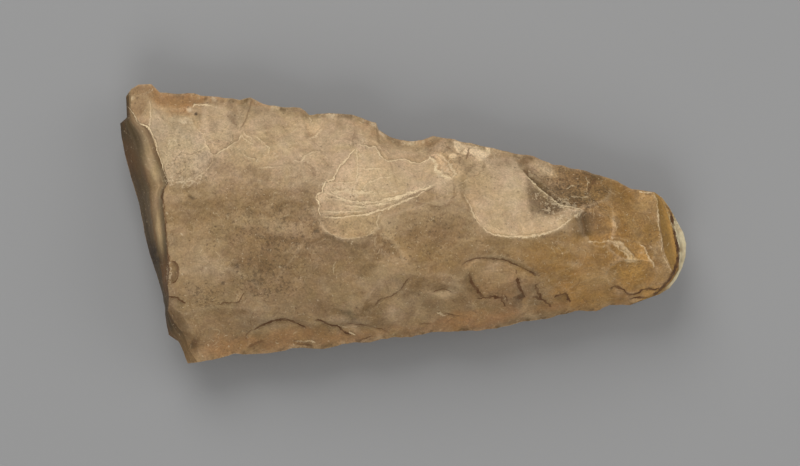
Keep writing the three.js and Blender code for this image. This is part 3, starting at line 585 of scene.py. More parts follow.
# Smaller patches, laid over the scars' tones
PATCHES = [
    ("pale", 70.6, 24.1, 8.8, 1.9, 0, 0.45, 0.8),
    ("pale_tan", 62.4, 30.8, 2.2, 3.4, -10, 0.7),
    # the small round scar's pale tone, laid strongly to lift the shade in its hollow: partly painted light
    ("pale", 57.1, 31.1, 2.2, 2.1, 0, 0.75, 0.5),
    ("umber", 75, 28.6, 3.6, 1.8, -34, 0.5, 0.8),
    ("shade", 76.6, 27.8, 1.8, 0.9, -20, 0.4, 0.8),
    ("pale", 75.5, 24.9, 4.6, 1.2, 12, 0.4, 0.8),
    ("olive", 85.4, 31.6, 8.1, 3, -14, 0.7, 0.7),
    ("olive", 89.1, 26.2, 5.3, 4.6, 0, 0.45, 0.8),
    ("umber", 83.3, 32.7, 2.8, 1.4, -20, 0.4, 0.8),
    ("umber", 25.1, 16.8, 5.3, 3.9, 30, 0.28),
    ("pale", 30, 23.9, 4.6, 1.4, -4, 0.35, 0.8),
    ("pale", 22.1, 11.2, 4.6, 1.8, 0, 0.2, 0.8),
    ("pale", 48, 15.4, 4.6, 3.2, 40, 0.3, 0.8),
    ("pale", 56.7, 12.1, 2.3, 0.9, 0, 0.65, 0.6),
    ("pale", 67, 15.4, 5, 2.4, -8, 0.35),
    ("orange", 67, 13, 6, 3, 0, 0.3),
    ("pale", 52.5, 9.8, 6, 3, 10, 0.2),
    ("gold", 91.2, 16.4, 5.4, 2.9, -5, 0.45),
    ("gold", 89, 15.4, 3.8, 2.3, -5, 0.6, 0.5),
    ("pale_tan", 92.4, 27.4, 2.4, 3.4, 0, 0.4),
    ("shade", 87, 13.5, 1.1, 0.6, -20, 0.5),
    # painted light: lifts the shade of a scar's wall near the butt
    ("pale_tan", 84.6, 14.6, 3.4, 2.2, -10, 0.8),
    ("gold", 83, 10.8, 4, 1.8, 0, 0.4),
    ("pale_tan", 93.2, 28.4, 1.4, 2.2, 0, 0.5),
    ("pale_tan", 90.4, 24.6, 1.3, 3.4, 30, 0.35),
    ("umber", 89, 28.2, 1.2, 3, 35, 0.35),
    ("pale_tan", 87.3, 25.2, 0.9, 1.6, 20, 0.5, 0.7),
    ("umber", 90.8, 22.6, 3, 1.1, 0, 0.3),
    ("umber", 82, 33, 3.6, 1, -14, 0.4, 0.8),
    ("olive", 80.3, 24.2, 1.8, 2.6, 0, 0.45, 0.8),
    ("umber", 80.3, 24.2, 1.6, 2.4, 0, 0.3, 0.8),
    ("olive", 82.6, 20, 3.4, 2.2, 0, 0.4),
    ("gold", 82.9, 15.6, 3, 2, 0, 0.4),
    ("umber", 86.6, 13, 2.6, 1.1, 6, 0.35),
    ("olive", 79, 19.1, 3, 2.2, 0, 0.25),
    ("pale", 62.6, 35, 1, 0.6, 0, 0.5),
    ("pale_tan", 53.5, 8.8, 1.6, 1.3, 0, 0.4),
    ("pale", 48.6, 9, 1.8, 3.2, 0, 0.35),
    ("olive_grey", 40.7, 8.6, 1.9, 0.9, -10, 0.6),
    ("umber", 50.8, 8.4, 0.9, 1.9, -35, 0.4),
    ("umber", 54.5, 10.5, 1.8, 0.6, 0, 0.4),
    ("pale", 41.6, 6.2, 1.6, 0.6, -30, 0.5),
    ("orange", 15.1, 2.4, 7, 2.1, 4, 0.35),
    ("orange", 19.8, 3.1, 5.3, 2.1, 4, 0.5, 0.8),
    ("orange", 30, 4.5, 7.4, 1.8, 8, 0.6, 0.7),
    ("orange", 39.7, 4.8, 5.3, 1.6, 6, 0.5, 0.7),
    ("orange", 49.4, 5.6, 8.8, 1.2, 2, 0.3, 0.8),
    ("orange", 60.4, 7.3, 6.7, 1.8, 4, 0.7, 0.8),
    ("orange", 67.9, 8.7, 4.6, 1.6, 8, 0.55, 0.8),
    ("orange", 77.6, 10.1, 5.3, 1.2, 8, 0.35, 0.8),
    ("orange", 32.7, 45.7, 5.3, 0.9, -8, 0.25, 0.8),
    ("orange", 53, 39.4, 3.9, 0.8, 0, 0.4, 0.7),
    ("orange", 43.4, 41.5, 3.2, 0.9, -30, 0.35, 0.7),
    ("orange", 25.1, 45.9, 4.6, 0.9, -6, 0.35, 0.7),
    ("umber", 47.7, 40.1, 2.5, 1.2, -35, 0.35, 0.8),
    ("umber", 61.6, 34.3, 2.2, 1.6, 0, 0.2, 0.4),
    ("umber", 31, 44.9, 1.6, 0.7, -15, 0.5, 0.7),
    ("umber", 37, 43.9, 4, 0.5, -2, 0.5, 0.7),
    ("cream", 69.4, 31.6, 2.2, 4.6, 0, 0.25, 0.8),
    ("umber", 67.9, 34.8, 2.5, 1.2, -14, 0.25, 0.8),
    ("umber", 75, 36.2, 5.3, 1.1, -16, 0.45, 0.8),
    ("umber", 84.7, 33, 4.6, 1.1, -14, 0.4, 0.8),
    ("shade", 71.8, 34.4, 1.8, 1.1, -30, 0.4, 0.7),
    ("grey", 79.7, 32, 6, 2.1, -26, 0.6, 0.7),
    ("umber", 83.4, 31.8, 4.6, 1.6, -30, 0.5, 0.8),
    ("pale", 74.6, 33.9, 2.8, 1.2, -26, 0.75, 0.7),
    ("shade", 80.4, 29.3, 3.5, 0.9, -24, 0.5, 0.7),
    ("umber", 83.7, 25.4, 1.9, 2.4, 0, 0.45, 0.8),
    ("shade", 82.2, 24.6, 0.9, 2.5, 0, 0.35, 0.7),
    ("umber", 86.6, 28.8, 3, 1.8, -20, 0.3),
    ("gold", 93.3, 28.8, 1.8, 1.4, 0, 0.5),
    ("olive", 94, 24.2, 1.4, 4.5, 0, 0.5),
    ("olive", 90.2, 25, 4.2, 4.6, 0, 0.4),
    ("gold", 85, 22.2, 2.6, 1.2, 0, 0.6),
    ("gold", 83.2, 12.8, 5, 2.4, 4, 0.5),
    ("gold", 93.8, 12.6, 2.4, 1, 8, 0.6, 0.8),
    ("pale", 48, 24.6, 2.6, 2, 30, 0.45),
    ("umber", 18.3, 34.7, 2.8, 1.6, 24, 0.35),
    ("tan_brown", 9.4, 44.2, 2.4, 0.8, 0, 0.6, 0.8),
    ("pale", 74.2, 34.2, 1.3, 2.4, -30, 0.5, 0.8),
    ("shade", 77.2, 35.2, 1.8, 0.5, -20, 0.5, 0.8),
    ("umber", 71.4, 35.8, 2.2, 0.8, -10, 0.4, 0.8),
    ("shade", 12.4, 2.4, 1.6, 1.8, -35, 0.35, 0.7),
    ("olive_grey", 10.8, 6.8, 1.4, 4.2, 25, 0.35, 0.8),
    ("umber", 25.6, 17.4, 6.5, 4.4, 0, 0.32),
    ("shade", 25.8, 16.6, 1.8, 1.6, 60, 0.3),
    ("shade", 20.6, 17.4, 1.4, 1, 30, 0.3),
    ("pale", 39.6, 13, 4.4, 3, 20, 0.12),
    ("pale", 15, 19, 3.2, 5, 0, 0.12),
    ("umber", 85.6, 30.5, 3.2, 1.8, -15, 0.25),
    ("pit", 13.5, 44, 0.3, 0.3, 0, 0.9, 0.5),
    ("cream", 12.4, 44.7, 0.5, 0.5, 0, 0.8, 0.5),
    ("cream", 11.2, 42.6, 1.1, 0.5, -35, 0.55, 0.6),
    ("pit", 13, 29.2, 0.7, 0.3, -30, 0.6, 0.7),
    ("pit", 20.9, 17.2, 0.4, 0.4, 0, 0.6, 0.6),
    ("pit", 18.4, 14.2, 0.4, 0.4, 0, 0.6, 0.6),
    ("pit", 34.8, 23.3, 0.7, 0.4, 0, 0.6, 0.6),
    ("cream", 2, 46.8, 0.7, 0.5, 0, 0.5, 0.6),
    ("umber", 3.6, 48.5, 1.4, 0.7, 0, 0.5, 0.7),
    ("shade", 22.5, 45.4, 1.2, 1.8, 20, 0.4, 0.8),
    ("shade", 20.5, 43.6, 1.6, 1.8, 0, 0.3, 0.8),
]

# Where dark specks are thickest: middle, half sizes, turn and strength
SPECKLED = [
    (75, 29.4, 4.2, 3.4, -40, 1),
    (80, 28.2, 3.6, 1.7, -32, 1),
    (53.5, 22.5, 9.5, 5, 4, 0.65),
    (28.5, 24, 11, 6.5, 0, 0.75),
    (26.5, 15.5, 8, 5, 20, 0.9),
    (11.5, 34.6, 3.4, 2.4, 30, 0.7),
    (39.5, 30.5, 4, 1.5, -5, 0.5),
    (15, 12, 5, 3, 0, 0.75),
]

# Where the fine mottling is strongest, the same way
GRAINY = [
    (80.3, 30.8, 8, 4, -24, 2),
    (91, 22, 8, 10, 0, 0.5),
    (60, 37, 8, 3, -12, 0.5),
    (14, 37, 9, 6, 0, 0.4),
    (30, 24, 16, 10, 0, 0.3),
]

# Where chalky crumbs lie thickest, the same way
CRUMBLY = [
    (8.6, 31.8, 1.2, 0.8, 0, 0.9),
    (12.5, 32.6, 3.6, 1.2, 6, 0.8),
    (9.6, 37, 2.6, 4, 10, 0.35),
    (12, 42.4, 1.5, 0.8, -30, 0.8),
    (19.5, 37.6, 3, 0.8, 30, 0.5),
    (29, 36, 7, 0.7, 0, 0.3),
    (40, 30.6, 5, 0.8, -6, 1),
    (42.4, 34.6, 0.8, 3.4, 0, 0.5),
    (57.2, 34.2, 1.6, 1.8, -40, 0.9),
    (78.5, 28, 4.6, 1.2, -30, 1),
    (74.8, 28.6, 3.4, 1.6, -38, 0.6),
    (77.4, 25.6, 4.2, 0.9, 20, 0.6),
    (8.9, 16, 0.6, 3, 0, 0.8),
    (63, 37.4, 4.4, 1.4, -12, 0.4),
]

# ---- The stage, in metres and watts ----

FLOOR_SIZE = 12
FLOOR_TONE = 0.36
SKY_STRENGTH = 0.36
LIT_SPOT = (0, 0, 0.02)
LIGHTS = [
    ("key_light", (-0.35, 1.1, 1.15), 1.2, 11.5),
    ("side_light", (1.2, 0.3, 1.0), 1.0, 3.2),
    ("near_light", (-0.2, -1.2, 1.3), 1.2, 6.5),
]
CAMERA_PLACE = (-0.00097, -0.00277, 2.013)
LENS = 300

# ---- Working on arrays of points ----


def smoothstep(low, high, value):
    """0 at low, 1 at high and a soft slope between."""
    share = np.clip((value - low) / (high - low), 0, 1)
    return share * share * (3 - 2 * share)


def mix(low, high, share):
    return low + (high - low) * share


def noise(x, y, cell, seed):
    """Smooth noise between about -1 and 1, with lumps about as large as cell."""
    lattice = 64
    angles = np.random.RandomState(seed).rand(lattice, lattice) * 2 * math.pi
    u, v = x / cell, y / cell
    column, row = np.floor(u).astype(int), np.floor(v).astype(int)
    u, v = u - column, v - row

    def corner(i, j):
        angle = angles[(column + i) % lattice, (row + j) % lattice]
        return np.cos(angle) * (u - i) + np.sin(angle) * (v - j)

    ease_u, ease_v = (w * w * w * (w * (w * 6 - 15) + 10) for w in (u, v))
    low = mix(corner(0, 0), corner(1, 0), ease_u)
    high = mix(corner(0, 1), corner(1, 1), ease_u)
    return 1.5 * mix(low, high, ease_v)


def layered_noise(x, y, cell, seed, layers=3, gain=0.5):
    """Noise with finer and weaker noise added to it."""
    total = 0
    for layer in range(layers):
        total = total + gain ** layer * noise(x, y, cell / 2 ** layer, seed + layer)
    return total


def lengths_along(points):
    return np.concatenate([[0], np.cumsum(np.hypot(*np.diff(points, axis=0).T))])


def walk(points, shares):
    """The points at these shares of the way along a line of points."""
    lengths = lengths_along(points)
    at = np.asarray(shares) * lengths[-1]
    return np.stack([np.interp(at, lengths, points[:, axis]) for axis in (0, 1)], axis=-1)


def rounded(points, closed=False, steps=6):
    """A smooth line through the points."""
    points = np.asarray(points, float)
    if closed:
        points = np.concatenate([points[-1:], points, points[:2]])
    else:
        ends = [2 * points[0] - points[1]], [2 * points[-1] - points[-2]]
        points = np.concatenate([ends[0], points, ends[1]])
    share = np.linspace(0, 1, steps, endpoint=False)[:, None]
    pieces = []
    for a, b, c, d in zip(points, points[1:], points[2:], points[3:]):
        bend = (c - a) * share + (2 * a - 5 * b + 4 * c - d) * share ** 2
        pieces.append(b + 0.5 * (bend + (3 * b - a - 3 * c + d) * share ** 3))
    if not closed:
        pieces.append(points[-2][None])
    return np.concatenate(pieces)


def path_of(stone, line):
    """A line's way in millimetres, with or without its corners."""
    points = stone.place(line["points"])
    return rounded(points) if line["bends"] else points


def offset_from(line, x, y):
    """How far each point is from a line, on which side (left is positive), and how far along."""
    lengths = lengths_along(line)
    nearest = np.full(x.shape, np.inf)
    side = np.ones(x.shape)
    share = np.zeros(x.shape)
    for k, (a, b) in enumerate(zip(line, line[1:])):
        way = b - a
        length = math.hypot(*way)
        if length == 0:
            continue
        px, py = x - a[0], y - a[1]
        along = np.clip((px * way[0] + py * way[1]) / length ** 2, 0, 1)
        distance = np.hypot(px - along * way[0], py - along * way[1])
        closer = distance < nearest
        nearest[closer] = distance[closer]
        side[closer] = np.sign(way[0] * py - way[1] * px)[closer]
        share[closer] = ((lengths[k] + along * length) / lengths[-1])[closer]
    return nearest, side, share


def in_box_of(line, reach, x, y):
    """Which points are in the box round a line."""
    (low_x, low_y), (high_x, high_y) = line.min(axis=0) - reach, line.max(axis=0) + reach
    return (x > low_x) & (x < high_x) & (y > low_y) & (y < high_y)


def enclosed(loop, x, y):
    """Which points are inside a closed line."""
    inside = np.zeros(x.shape, bool)
    for (ax, ay), (bx, by) in zip(loop, np.roll(loop, -1, axis=0)):
        if ay != by:
            spans = (ay > y) != (by > y)
            inside ^= spans & (x < ax + (y - ay) * (bx - ax) / (by - ay))
    return inside


# ---- The stone's form ----


class Stone:
    """The form's sizes in millimetres, and where its plan lies."""

    def __init__(self, sizes):
        self.length = sizes.length / MM
        self.width = sizes.width / MM
        self.thickness = sizes.thickness / MM
        self.rim = sizes.rim_height / MM
        self.cutting_edge = sizes.cutting_edge_height / MM
        self.butt_rim = sizes.butt_rim_height / MM
        self.rim_sway = sizes.rim_sway / MM
        self.flat_depth = sizes.flat_depth / MM
        self.roughness = sizes.relief
        self.unit = np.array([self.length / 100, self.width / DRAWN_WIDTH])

    def place(self, points):
        """Points of the plan in millimetres."""
        return np.asarray(points, float) * self.unit


def oval_reach(stone, dx, dy, half_x, half_y, turn):
    """0 at the middle of a turned oval and 1 on its border."""
    cos, sin = math.cos(math.radians(turn)), math.sin(math.radians(turn))
    unit = stone.length / 100
    return np.hypot((dx * cos + dy * sin) / (half_x * unit), (dy * cos - dx * sin) / (half_y * unit))


def nibbled(count, length, seed, deepest=0.5, spacing=3.4):
    """How far small chips eat into a rim, at count places along its length."""
    chance = np.random.RandomState(seed)
    at = np.linspace(0, length, count)
    depth = np.zeros(count)
    middle = 0.0
    while middle < length:
        half = chance.uniform(0.5, 1.1) * spacing
        bite = deepest * chance.uniform(0.1, 1.0) ** 2
        depth = np.maximum(depth, bite * (1 - ((at - middle) / half) ** 2))
        middle += half * chance.uniform(1.1, 1.7)
    fade = smoothstep(0, 4, at) * smoothstep(0, 4, length - at)
    return depth * fade


def plan_grid(stone):
    """The grid of plan points, as columns from the cutting edge to the butt and rows across."""
    far, near = stone.place(FAR_RIM), stone.place(NEAR_RIM)
    edge, butt = stone.place(CUTTING_EDGE), stone.place(BUTT_RIM)
    bevel_arris, butt_arris = stone.place(BEVEL_ARRIS), stone.place(BUTT_ARRIS)
    t = np.linspace(0, 1, ROWS + 1)
    bands = [
        (BEVEL_COLUMNS, edge, bevel_arris, None, None),
        (BODY_COLUMNS, bevel_arris, butt_arris, near, far),
        (BUTT_COLUMNS, butt_arris, butt, None, None),
    ]
    places, shares = [], []
    for k, (columns, left_line, right_line, near_line, far_line) in enumerate(bands):
        if near_line is None:
            near_line, far_line = (np.array([left_line[end], right_line[end]]) for end in (0, -1))
        s = np.linspace(0, 1, columns + 1)
        left, right = walk(left_line, t), walk(right_line, t)
        low, high = walk(near_line, s), walk(far_line, s)
        if k == 1:
            low[:, 1] += nibbled(columns + 1, stone.length, 11)
            high[:, 1] -= nibbled(columns + 1, stone.length, 12)
        if k == 0:
            left[:, 0] += nibbled(ROWS + 1, stone.width, 13, deepest=0.3)
        sc, tr = s[:, None, None], t[None, :, None]
        corners = mix(mix(left[0], right[0], sc), mix(left[-1], right[-1], sc), tr)
        spot = mix(left[None], right[None], sc) + mix(low[:, None], high[:, None], tr) - corners
        first = 0 if k == 0 else 1
        places.append(spot[first:])
        shares.append(s[first:])
    spot = np.concatenate(places)
    x, y = spot[:, :, 0], spot[:, :, 1]
    along = np.clip((x - x[0]) / (x[-1] - x[0]), 0, 1)
    grid = {"x": x, "y": y, "along": along, "t": np.broadcast_to(t, x.shape)}
    for k, name in enumerate(("bevel", "body", "butt")):
        before = sum(len(share) for share in shares[:k])
        share = np.concatenate([np.zeros(before), shares[k], np.ones(len(x) - before - len(shares[k]))])
        grid[name] = np.broadcast_to(share[:, None], x.shape)
    return grid


def across(t, fullness):
    """0 on both long rims and 1 half way between them."""
    return 1 - np.abs(2 * t - 1) ** fullness


def rim_height(stone, grid):
    along, t = grid["along"], grid["t"]
    middle = across(t, 2)
    at_edge = np.maximum(0, 1 - along / EDGE_EASE) ** 2 * middle
    at_butt = np.maximum(0, 1 - (1 - along) / EDGE_EASE) ** 2 * middle
    weave = stone.rim_sway * np.sin(2 * math.pi * (RIM_WAVES * along + t))
    lowered = (stone.cutting_edge - stone.rim) * at_edge + (stone.butt_rim - stone.rim) * at_butt
    return stone.rim + weave + lowered


def away_from_crest(share):
    return np.where(share > CREST_AT, (share - CREST_AT) / (1 - CREST_AT), (CREST_AT - share) / CREST_AT)


def crest_height(stone, share):
    fall = np.where(share > CREST_AT, CREST_FALL_BUTT, CREST_FALL_CUTTING)
    return stone.thickness * (1 - fall * away_from_crest(share) ** 2)


def scar_depths(stone, scars, x, y):
    """How deep the deepest scar is at each point, in millimetres, and how near it meets the next."""
    deepest = np.full(x.shape, -99.0)
    second = np.full(x.shape, -99.0)
    for mx, my, half_x, half_y, turn, depth, wall, lean in scars:
        middle = stone.place((mx, my))
        dx, dy = x - middle[0], y - middle[1]
        reach = oval_reach(stone, dx, dy, half_x, half_y, turn)
        wobble = 1 + 0.05 * np.sin(3 * np.arctan2(dy, dx) + mx) + 0.04 * noise(x, y, 9, int(mx * 10))
        here = depth * stone.thickness / 100 * (1 - (reach * wobble) ** wall) + lean * dy / 100
        second = np.maximum(second, np.minimum(deepest, here))
        deepest = np.maximum(deepest, here)
    deepest, second = np.maximum(deepest, 0), np.maximum(second, 0)
    return deepest, np.exp(-(deepest - second) / RIDGE_WIDTH) * (deepest > RIDGE_LEAST_CUT)


def limited(cut, room):
    """A cut that levels off towards a share of the room over the rim, so the faces never cross."""
    most = DEEPEST_CUT * np.maximum(room, 1e-6)
    lowered = most * (1 - np.exp(-np.maximum(cut, 0) / most))
    return np.where(cut > 0, lowered, cut * np.clip(room / 1.5, 0, 1))


def nicks():
    """Small ledges and scratches scattered over the stone, as lines of their own."""
    chance = np.random.RandomState(77)
    found = []
    for _ in range(NICKS):
        at = np.array([chance.uniform(9, 93), chance.uniform(4, 46)])
        heading, bend = chance.uniform(0, 2 * math.pi), chance.uniform(-1.6, 1.6)
        length = chance.uniform(0.6, 1.7) ** 2
        points = [at]
        for step in range(5):
            turn = heading + bend * step / 5
            points.append(points[-1] + np.array([math.cos(turn), math.sin(turn)]) * length / 5)
        pale = chance.uniform() < mix(-0.2, 0.75, at[1] / 46)
        strength = chance.uniform(0.08, 0.32)
        width, drop = chance.uniform(0.16, 0.26), chance.uniform(-0.14, 0.14)
        nick = curved(*np.ravel(points), width=width, drop=drop, run=1.5)
        nick["cream" if pale else "soil"] = strength
        found.append(nick)
    return found


def line_effects(stone, x, y):
    """What the lines do at each point: height taken off, painted shadow beside steps, how much lighter or
    darker each side is (partly tone, partly painted light and shade), and the pale and dark line distances.
    """
    taken = np.zeros(x.shape)
    shade = np.zeros(x.shape)
    light = np.zeros(x.shape)
    inks = {ink: [np.full(x.shape + (3,), 9.0), np.zeros(x.shape + (3,))] for ink in ("cream", "soil")}
    nearest = {ink: np.full(x.shape + (3,), 99.0) for ink in inks}
    for line in [*LINES.values(), *nicks()]:
        path = path_of(stone, line)
        near = in_box_of(path, 3 * line.get("run", 1) + 2, x, y)
        if not near.any():
            continue
        distance, side, share = offset_from(path, x[near], y[near])
        jitter = 0.2 * noise(x[near], y[near], 1.2, 5) + 0.2 * noise(x[near], y[near], 4, 6)
        signed = distance * side + line.get("rough", 1) * jitter
        taper = smoothstep(0, 0.12, share) * smoothstep(0, 0.12, 1 - share)
        drop = line.get("drop", 0)
        low = signed if drop > 0 else -signed
        if drop:
            fall = smoothstep(-0.2, 0.5, low) * np.exp(-np.maximum(low, 0) / line["run"])
            taken[near] += abs(drop) * fall * taper
        if "groove" in line:
            taken[near] += line["groove"] * np.exp(-(signed / 0.5) ** 2) * taper
        # painted shadow on the lower side, beside the step
        if "shade" in line:
            dark = smoothstep(-0.1, 0.5, low) * np.exp(-np.maximum(low, 0) / 2.2)
            shade[near] += line["shade"] * dark * taper
        # lighter or darker on each side: partly the stone's tone, partly painted light and shade
        for name, beside in (("left", signed), ("right", -signed)):
            if name in line:
                lit = smoothstep(-0.1, 0.3, beside) * np.exp(-(beside / 2.6) ** 2)
                light[near] += line[name] * lit * taper
        for ink in inks:
            if ink not in line:
                continue
            close = distance < 1.5
            if not close.any():
                continue
            k = int(np.argmax(nearest[ink][near][close].min(axis=0)))
            away, strong, seen = (values[near] for values in (*inks[ink], nearest[ink]))
            closer = distance < seen[:, k]
            run = share * lengths_along(path)[-1] + 7 * path[0, 0]
            swell = 0.35 + 0.65 * np.sqrt(np.sin(math.pi * np.clip(share, 0, 1)))
            width = line["width"] * swell * (1 + 0.5 * noise(run, 0 * run, 1.9, 8))
            strength = line[ink] * smoothstep(0, 0.07, share) * smoothstep(0, 0.07, 1 - share)
            strength = strength * np.clip(0.95 + 0.7 * noise(run, 0 * run + 5, 2.6, 9), 0.2, 1.4)
            strength = strength * (1 - smoothstep(3.0, 4.6, distance / line["width"]))
            away[closer, k] = np.clip((signed if drop >= 0 else -signed) / width, -4, 4)[closer]
            strong[closer, k] = strength[closer]
            seen[closer, k] = distance[closer]
            inks[ink][0][near], inks[ink][1][near], nearest[ink][near] = away, strong, seen
    return taken, shade, light, inks


def face_relief(stone, x, y):
    """Gentle waves and grain of the flaked surface, in millimetres."""
    waves = 0.34 * noise(x, y, 17, 21) + 0.2 * noise(x * 0.8, y, 8, 22)
    grain = 0.1 * noise(x, y, 3.6, 23) + 0.055 * noise(x, y, 1.7, 24) + 0.035 * noise(x, y, 1.0, 25)
    return stone.roughness * (waves + grain)


def rim_chips(stone, grid, seed):
    """Small flakes off both long rims, in millimetres."""
    chance = np.random.RandomState(seed)
    u = grid["along"] * stone.length
    width = grid["y"][:, -1:] - grid["y"][:, :1]
    taken = np.zeros(u.shape)
    for side in (0, 1):
        inwards = (grid["t"] if side == 0 else 1 - grid["t"]) * width
        middle = 2.0
        while middle < stone.length - 2:
            half, reach = chance.uniform(1.2, 3.4), chance.uniform(1.5, 5.0)
            depth = chance.uniform(0.25, 0.8)
            bowl = 1 - ((u - middle) / half) ** 2 - (inwards / reach) ** 2
            taken = np.maximum(taken, depth * bowl)
            middle += half * chance.uniform(0.9, 1.9)
    return taken


def bevel_rise(share):
    """From the cutting edge up to the bevel's arris: a steep outer facet and an easier inner one."""
    inner = mix(BEVEL_TURN_RISE, 1, (share - BEVEL_TURN) / (1 - BEVEL_TURN))
    return np.where(share < BEVEL_TURN, BEVEL_TURN_RISE * share / BEVEL_TURN, inner)


def on_rim(height, rim):
    """The heights, with the outline's own points on the rim."""
    height[:, 0], height[:, -1] = rim[:, 0], rim[:, -1]
    height[0], height[-1] = rim[0], rim[-1]
    return height


def upper_face(stone, grid):
    """Heights of the upper face, and what its finish needs to know."""
    x, y = grid["x"], grid["y"]
    rim = rim_height(stone, grid)
    near, far = y[:, :1], y[:, -1:]
    evened = np.clip((y - near) / (blurred(far, RIM_EVENED) - near), 0, 1)
    share = mix(evened, grid["t"], smoothstep(0.6, 1, grid["t"]))
    blank = rim + (crest_height(stone, grid["body"]) - rim) * across(share, FACE_FULLNESS)
    deepest, ridge = scar_depths(stone, UPPER_SCARS, x, y)
    taken, shade, light, inks = line_effects(stone, x, y)
    cut = deepest + taken + rim_chips(stone, grid, 31) - face_relief(stone, x, y)
    cut = limited(cut, blank - rim)
    height = blank - cut

    first, last = BEVEL_COLUMNS, COLUMNS - BUTT_COLUMNS
    bevel = grid["bevel"][:first]
    fade = np.sin(math.pi * np.clip(bevel, 0, 1)) * across(grid["t"][:first], 8)
    flutes = 0.45 * noise(bevel * 5, y[:first] / 26, 1, 41) + 0.1 * noise(x[:first], y[:first], 1.6, 42)
    height[:first] = mix(rim[:first], height[first], bevel_rise(bevel)) + flutes * fade
    up = 1 - grid["butt"][last + 1:]
    slope = mix(CORTEX_RISE + CORTEX_STEP, 1, (up - CORTEX_SHARE) / (1 - CORTEX_SHARE))
    rise = np.where(up < CORTEX_SHARE, CORTEX_RISE * up / CORTEX_SHARE, slope)
    height[last + 1:] = mix(rim[last + 1:], height[last], rise)
    crust = 0.12 * noise(x[last + 1:], y[last + 1:], 1.3, 43) * np.sin(math.pi * np.clip(up, 0, 1))
    height[last + 1:] += crust

    facts = {"shade": shade, "light": light, "inks": inks, "ridge": ridge}
    for name, reach in (("fine_proud", 2), ("broad_proud", 7)):
        facts[name] = blurred(blurred(cut, reach), reach) - cut
    return on_rim(height, rim), facts


def blurred(values, reach):
    """The values evened out over a few places of the grid each way."""
    for axis in (0, 1):
        padded = np.pad(values, [(reach + 1, reach) if k == axis else (0, 0) for k in (0, 1)], mode="edge")
        sums = np.cumsum(padded, axis=axis)
        count = values.shape[axis]
        high = np.take(sums, range(2 * reach + 1, 2 * reach + 1 + count), axis=axis)
        low = np.take(sums, range(count), axis=axis)
        values = (high - low) / (2 * reach + 1)
    return values


def belly_scars(stone):
    """The belly's scars, struck in from both long rims."""
    near, far = stone.place(NEAR_RIM), stone.place(FAR_RIM)
    scars = []
    for side in (0, 1):
        for k in range(BELLY_SCARS_A_SIDE):
            chance = (GOLDEN_STEP * (k + 1) * (side + 2)) % 1
            share = [(k + 0.3 + 0.4 * chance) / BELLY_SCARS_A_SIDE]
            rim = walk(far if side else near, share)[0]
            other = walk(near if side else far, share)[0]
            middle = mix(rim, other, BELLY_SCAR_REACH * mix(0.7, 1, chance)) / stone.unit
            reach = BELLY_SCAR_REACH * math.hypot(*(rim - other)) * 100 / stone.length
            spread = BELLY_SCAR_SPREAD * 100 / BELLY_SCARS_A_SIDE
            depth = BELLY_SCAR_DEPTH * mix(0.7, 1.2, chance)
            scars.append((*middle, spread, reach, mix(-25, 25, chance), depth, BELLY_SCAR_WALL, 0))
    return scars


def belly_face(stone, grid):
    """Heights of the belly, from the table up, and where its scars meet."""
    x, y = grid["x"], grid["y"]
    rim = rim_height(stone, grid)
    rise = np.where(grid["along"] > CREST_AT, BELLY_RISE_BUTT, BELLY_RISE_CUTTING)
    fullness = 1 - away_from_crest(grid["along"]) ** rise
    drop = (rim + stone.flat_depth) * fullness * across(grid["t"], BELLY_FULLNESS)
    deepest, ridge = scar_depths(stone, belly_scars(stone), x, y)
    cut = deepest + rim_chips(stone, grid, 32) - face_relief(stone, x + 400, y)
    height = np.maximum(0, rim - drop + limited(cut, drop))
    return on_rim(height, rim), {"ridge": ridge}


# ---- The stone's tones ----


def linear(colour):
    """A colour as seen, 0 to 255, as Blender's linear values."""
    value = np.asarray(colour) / 255
    return np.where(value <= 0.04045, value / 12.92, ((value + 0.055) / 1.055) ** 2.4)


def outline_of(stone, parts):
    """A closed outline from points and named lines, where a minus sign runs one backwards."""
    if len(parts) == 1:
        return rounded(stone.place(parts[0]), closed=True, steps=4)
    runs = []
    for part in parts:
        if isinstance(part, str):
            points = path_of(stone, LINES[part.lstrip("-")])
            runs.append(points[::-1] if part.startswith("-") else points)
        else:
            runs.append(stone.place(part))
    return np.concatenate(runs)


class Coat:
    """The colour at each point of a face, built up in washes over the ground colour."""

    def __init__(self, tones, shape):
        self.tones = tones
        self.colour = np.ones(shape + (3,)) * tones["ground"]

    def lay(self, name, mask):
        mask = np.clip(mask, 0, 1)[..., None]
        self.colour = self.colour * (1 - mask) + self.tones[name] * mask


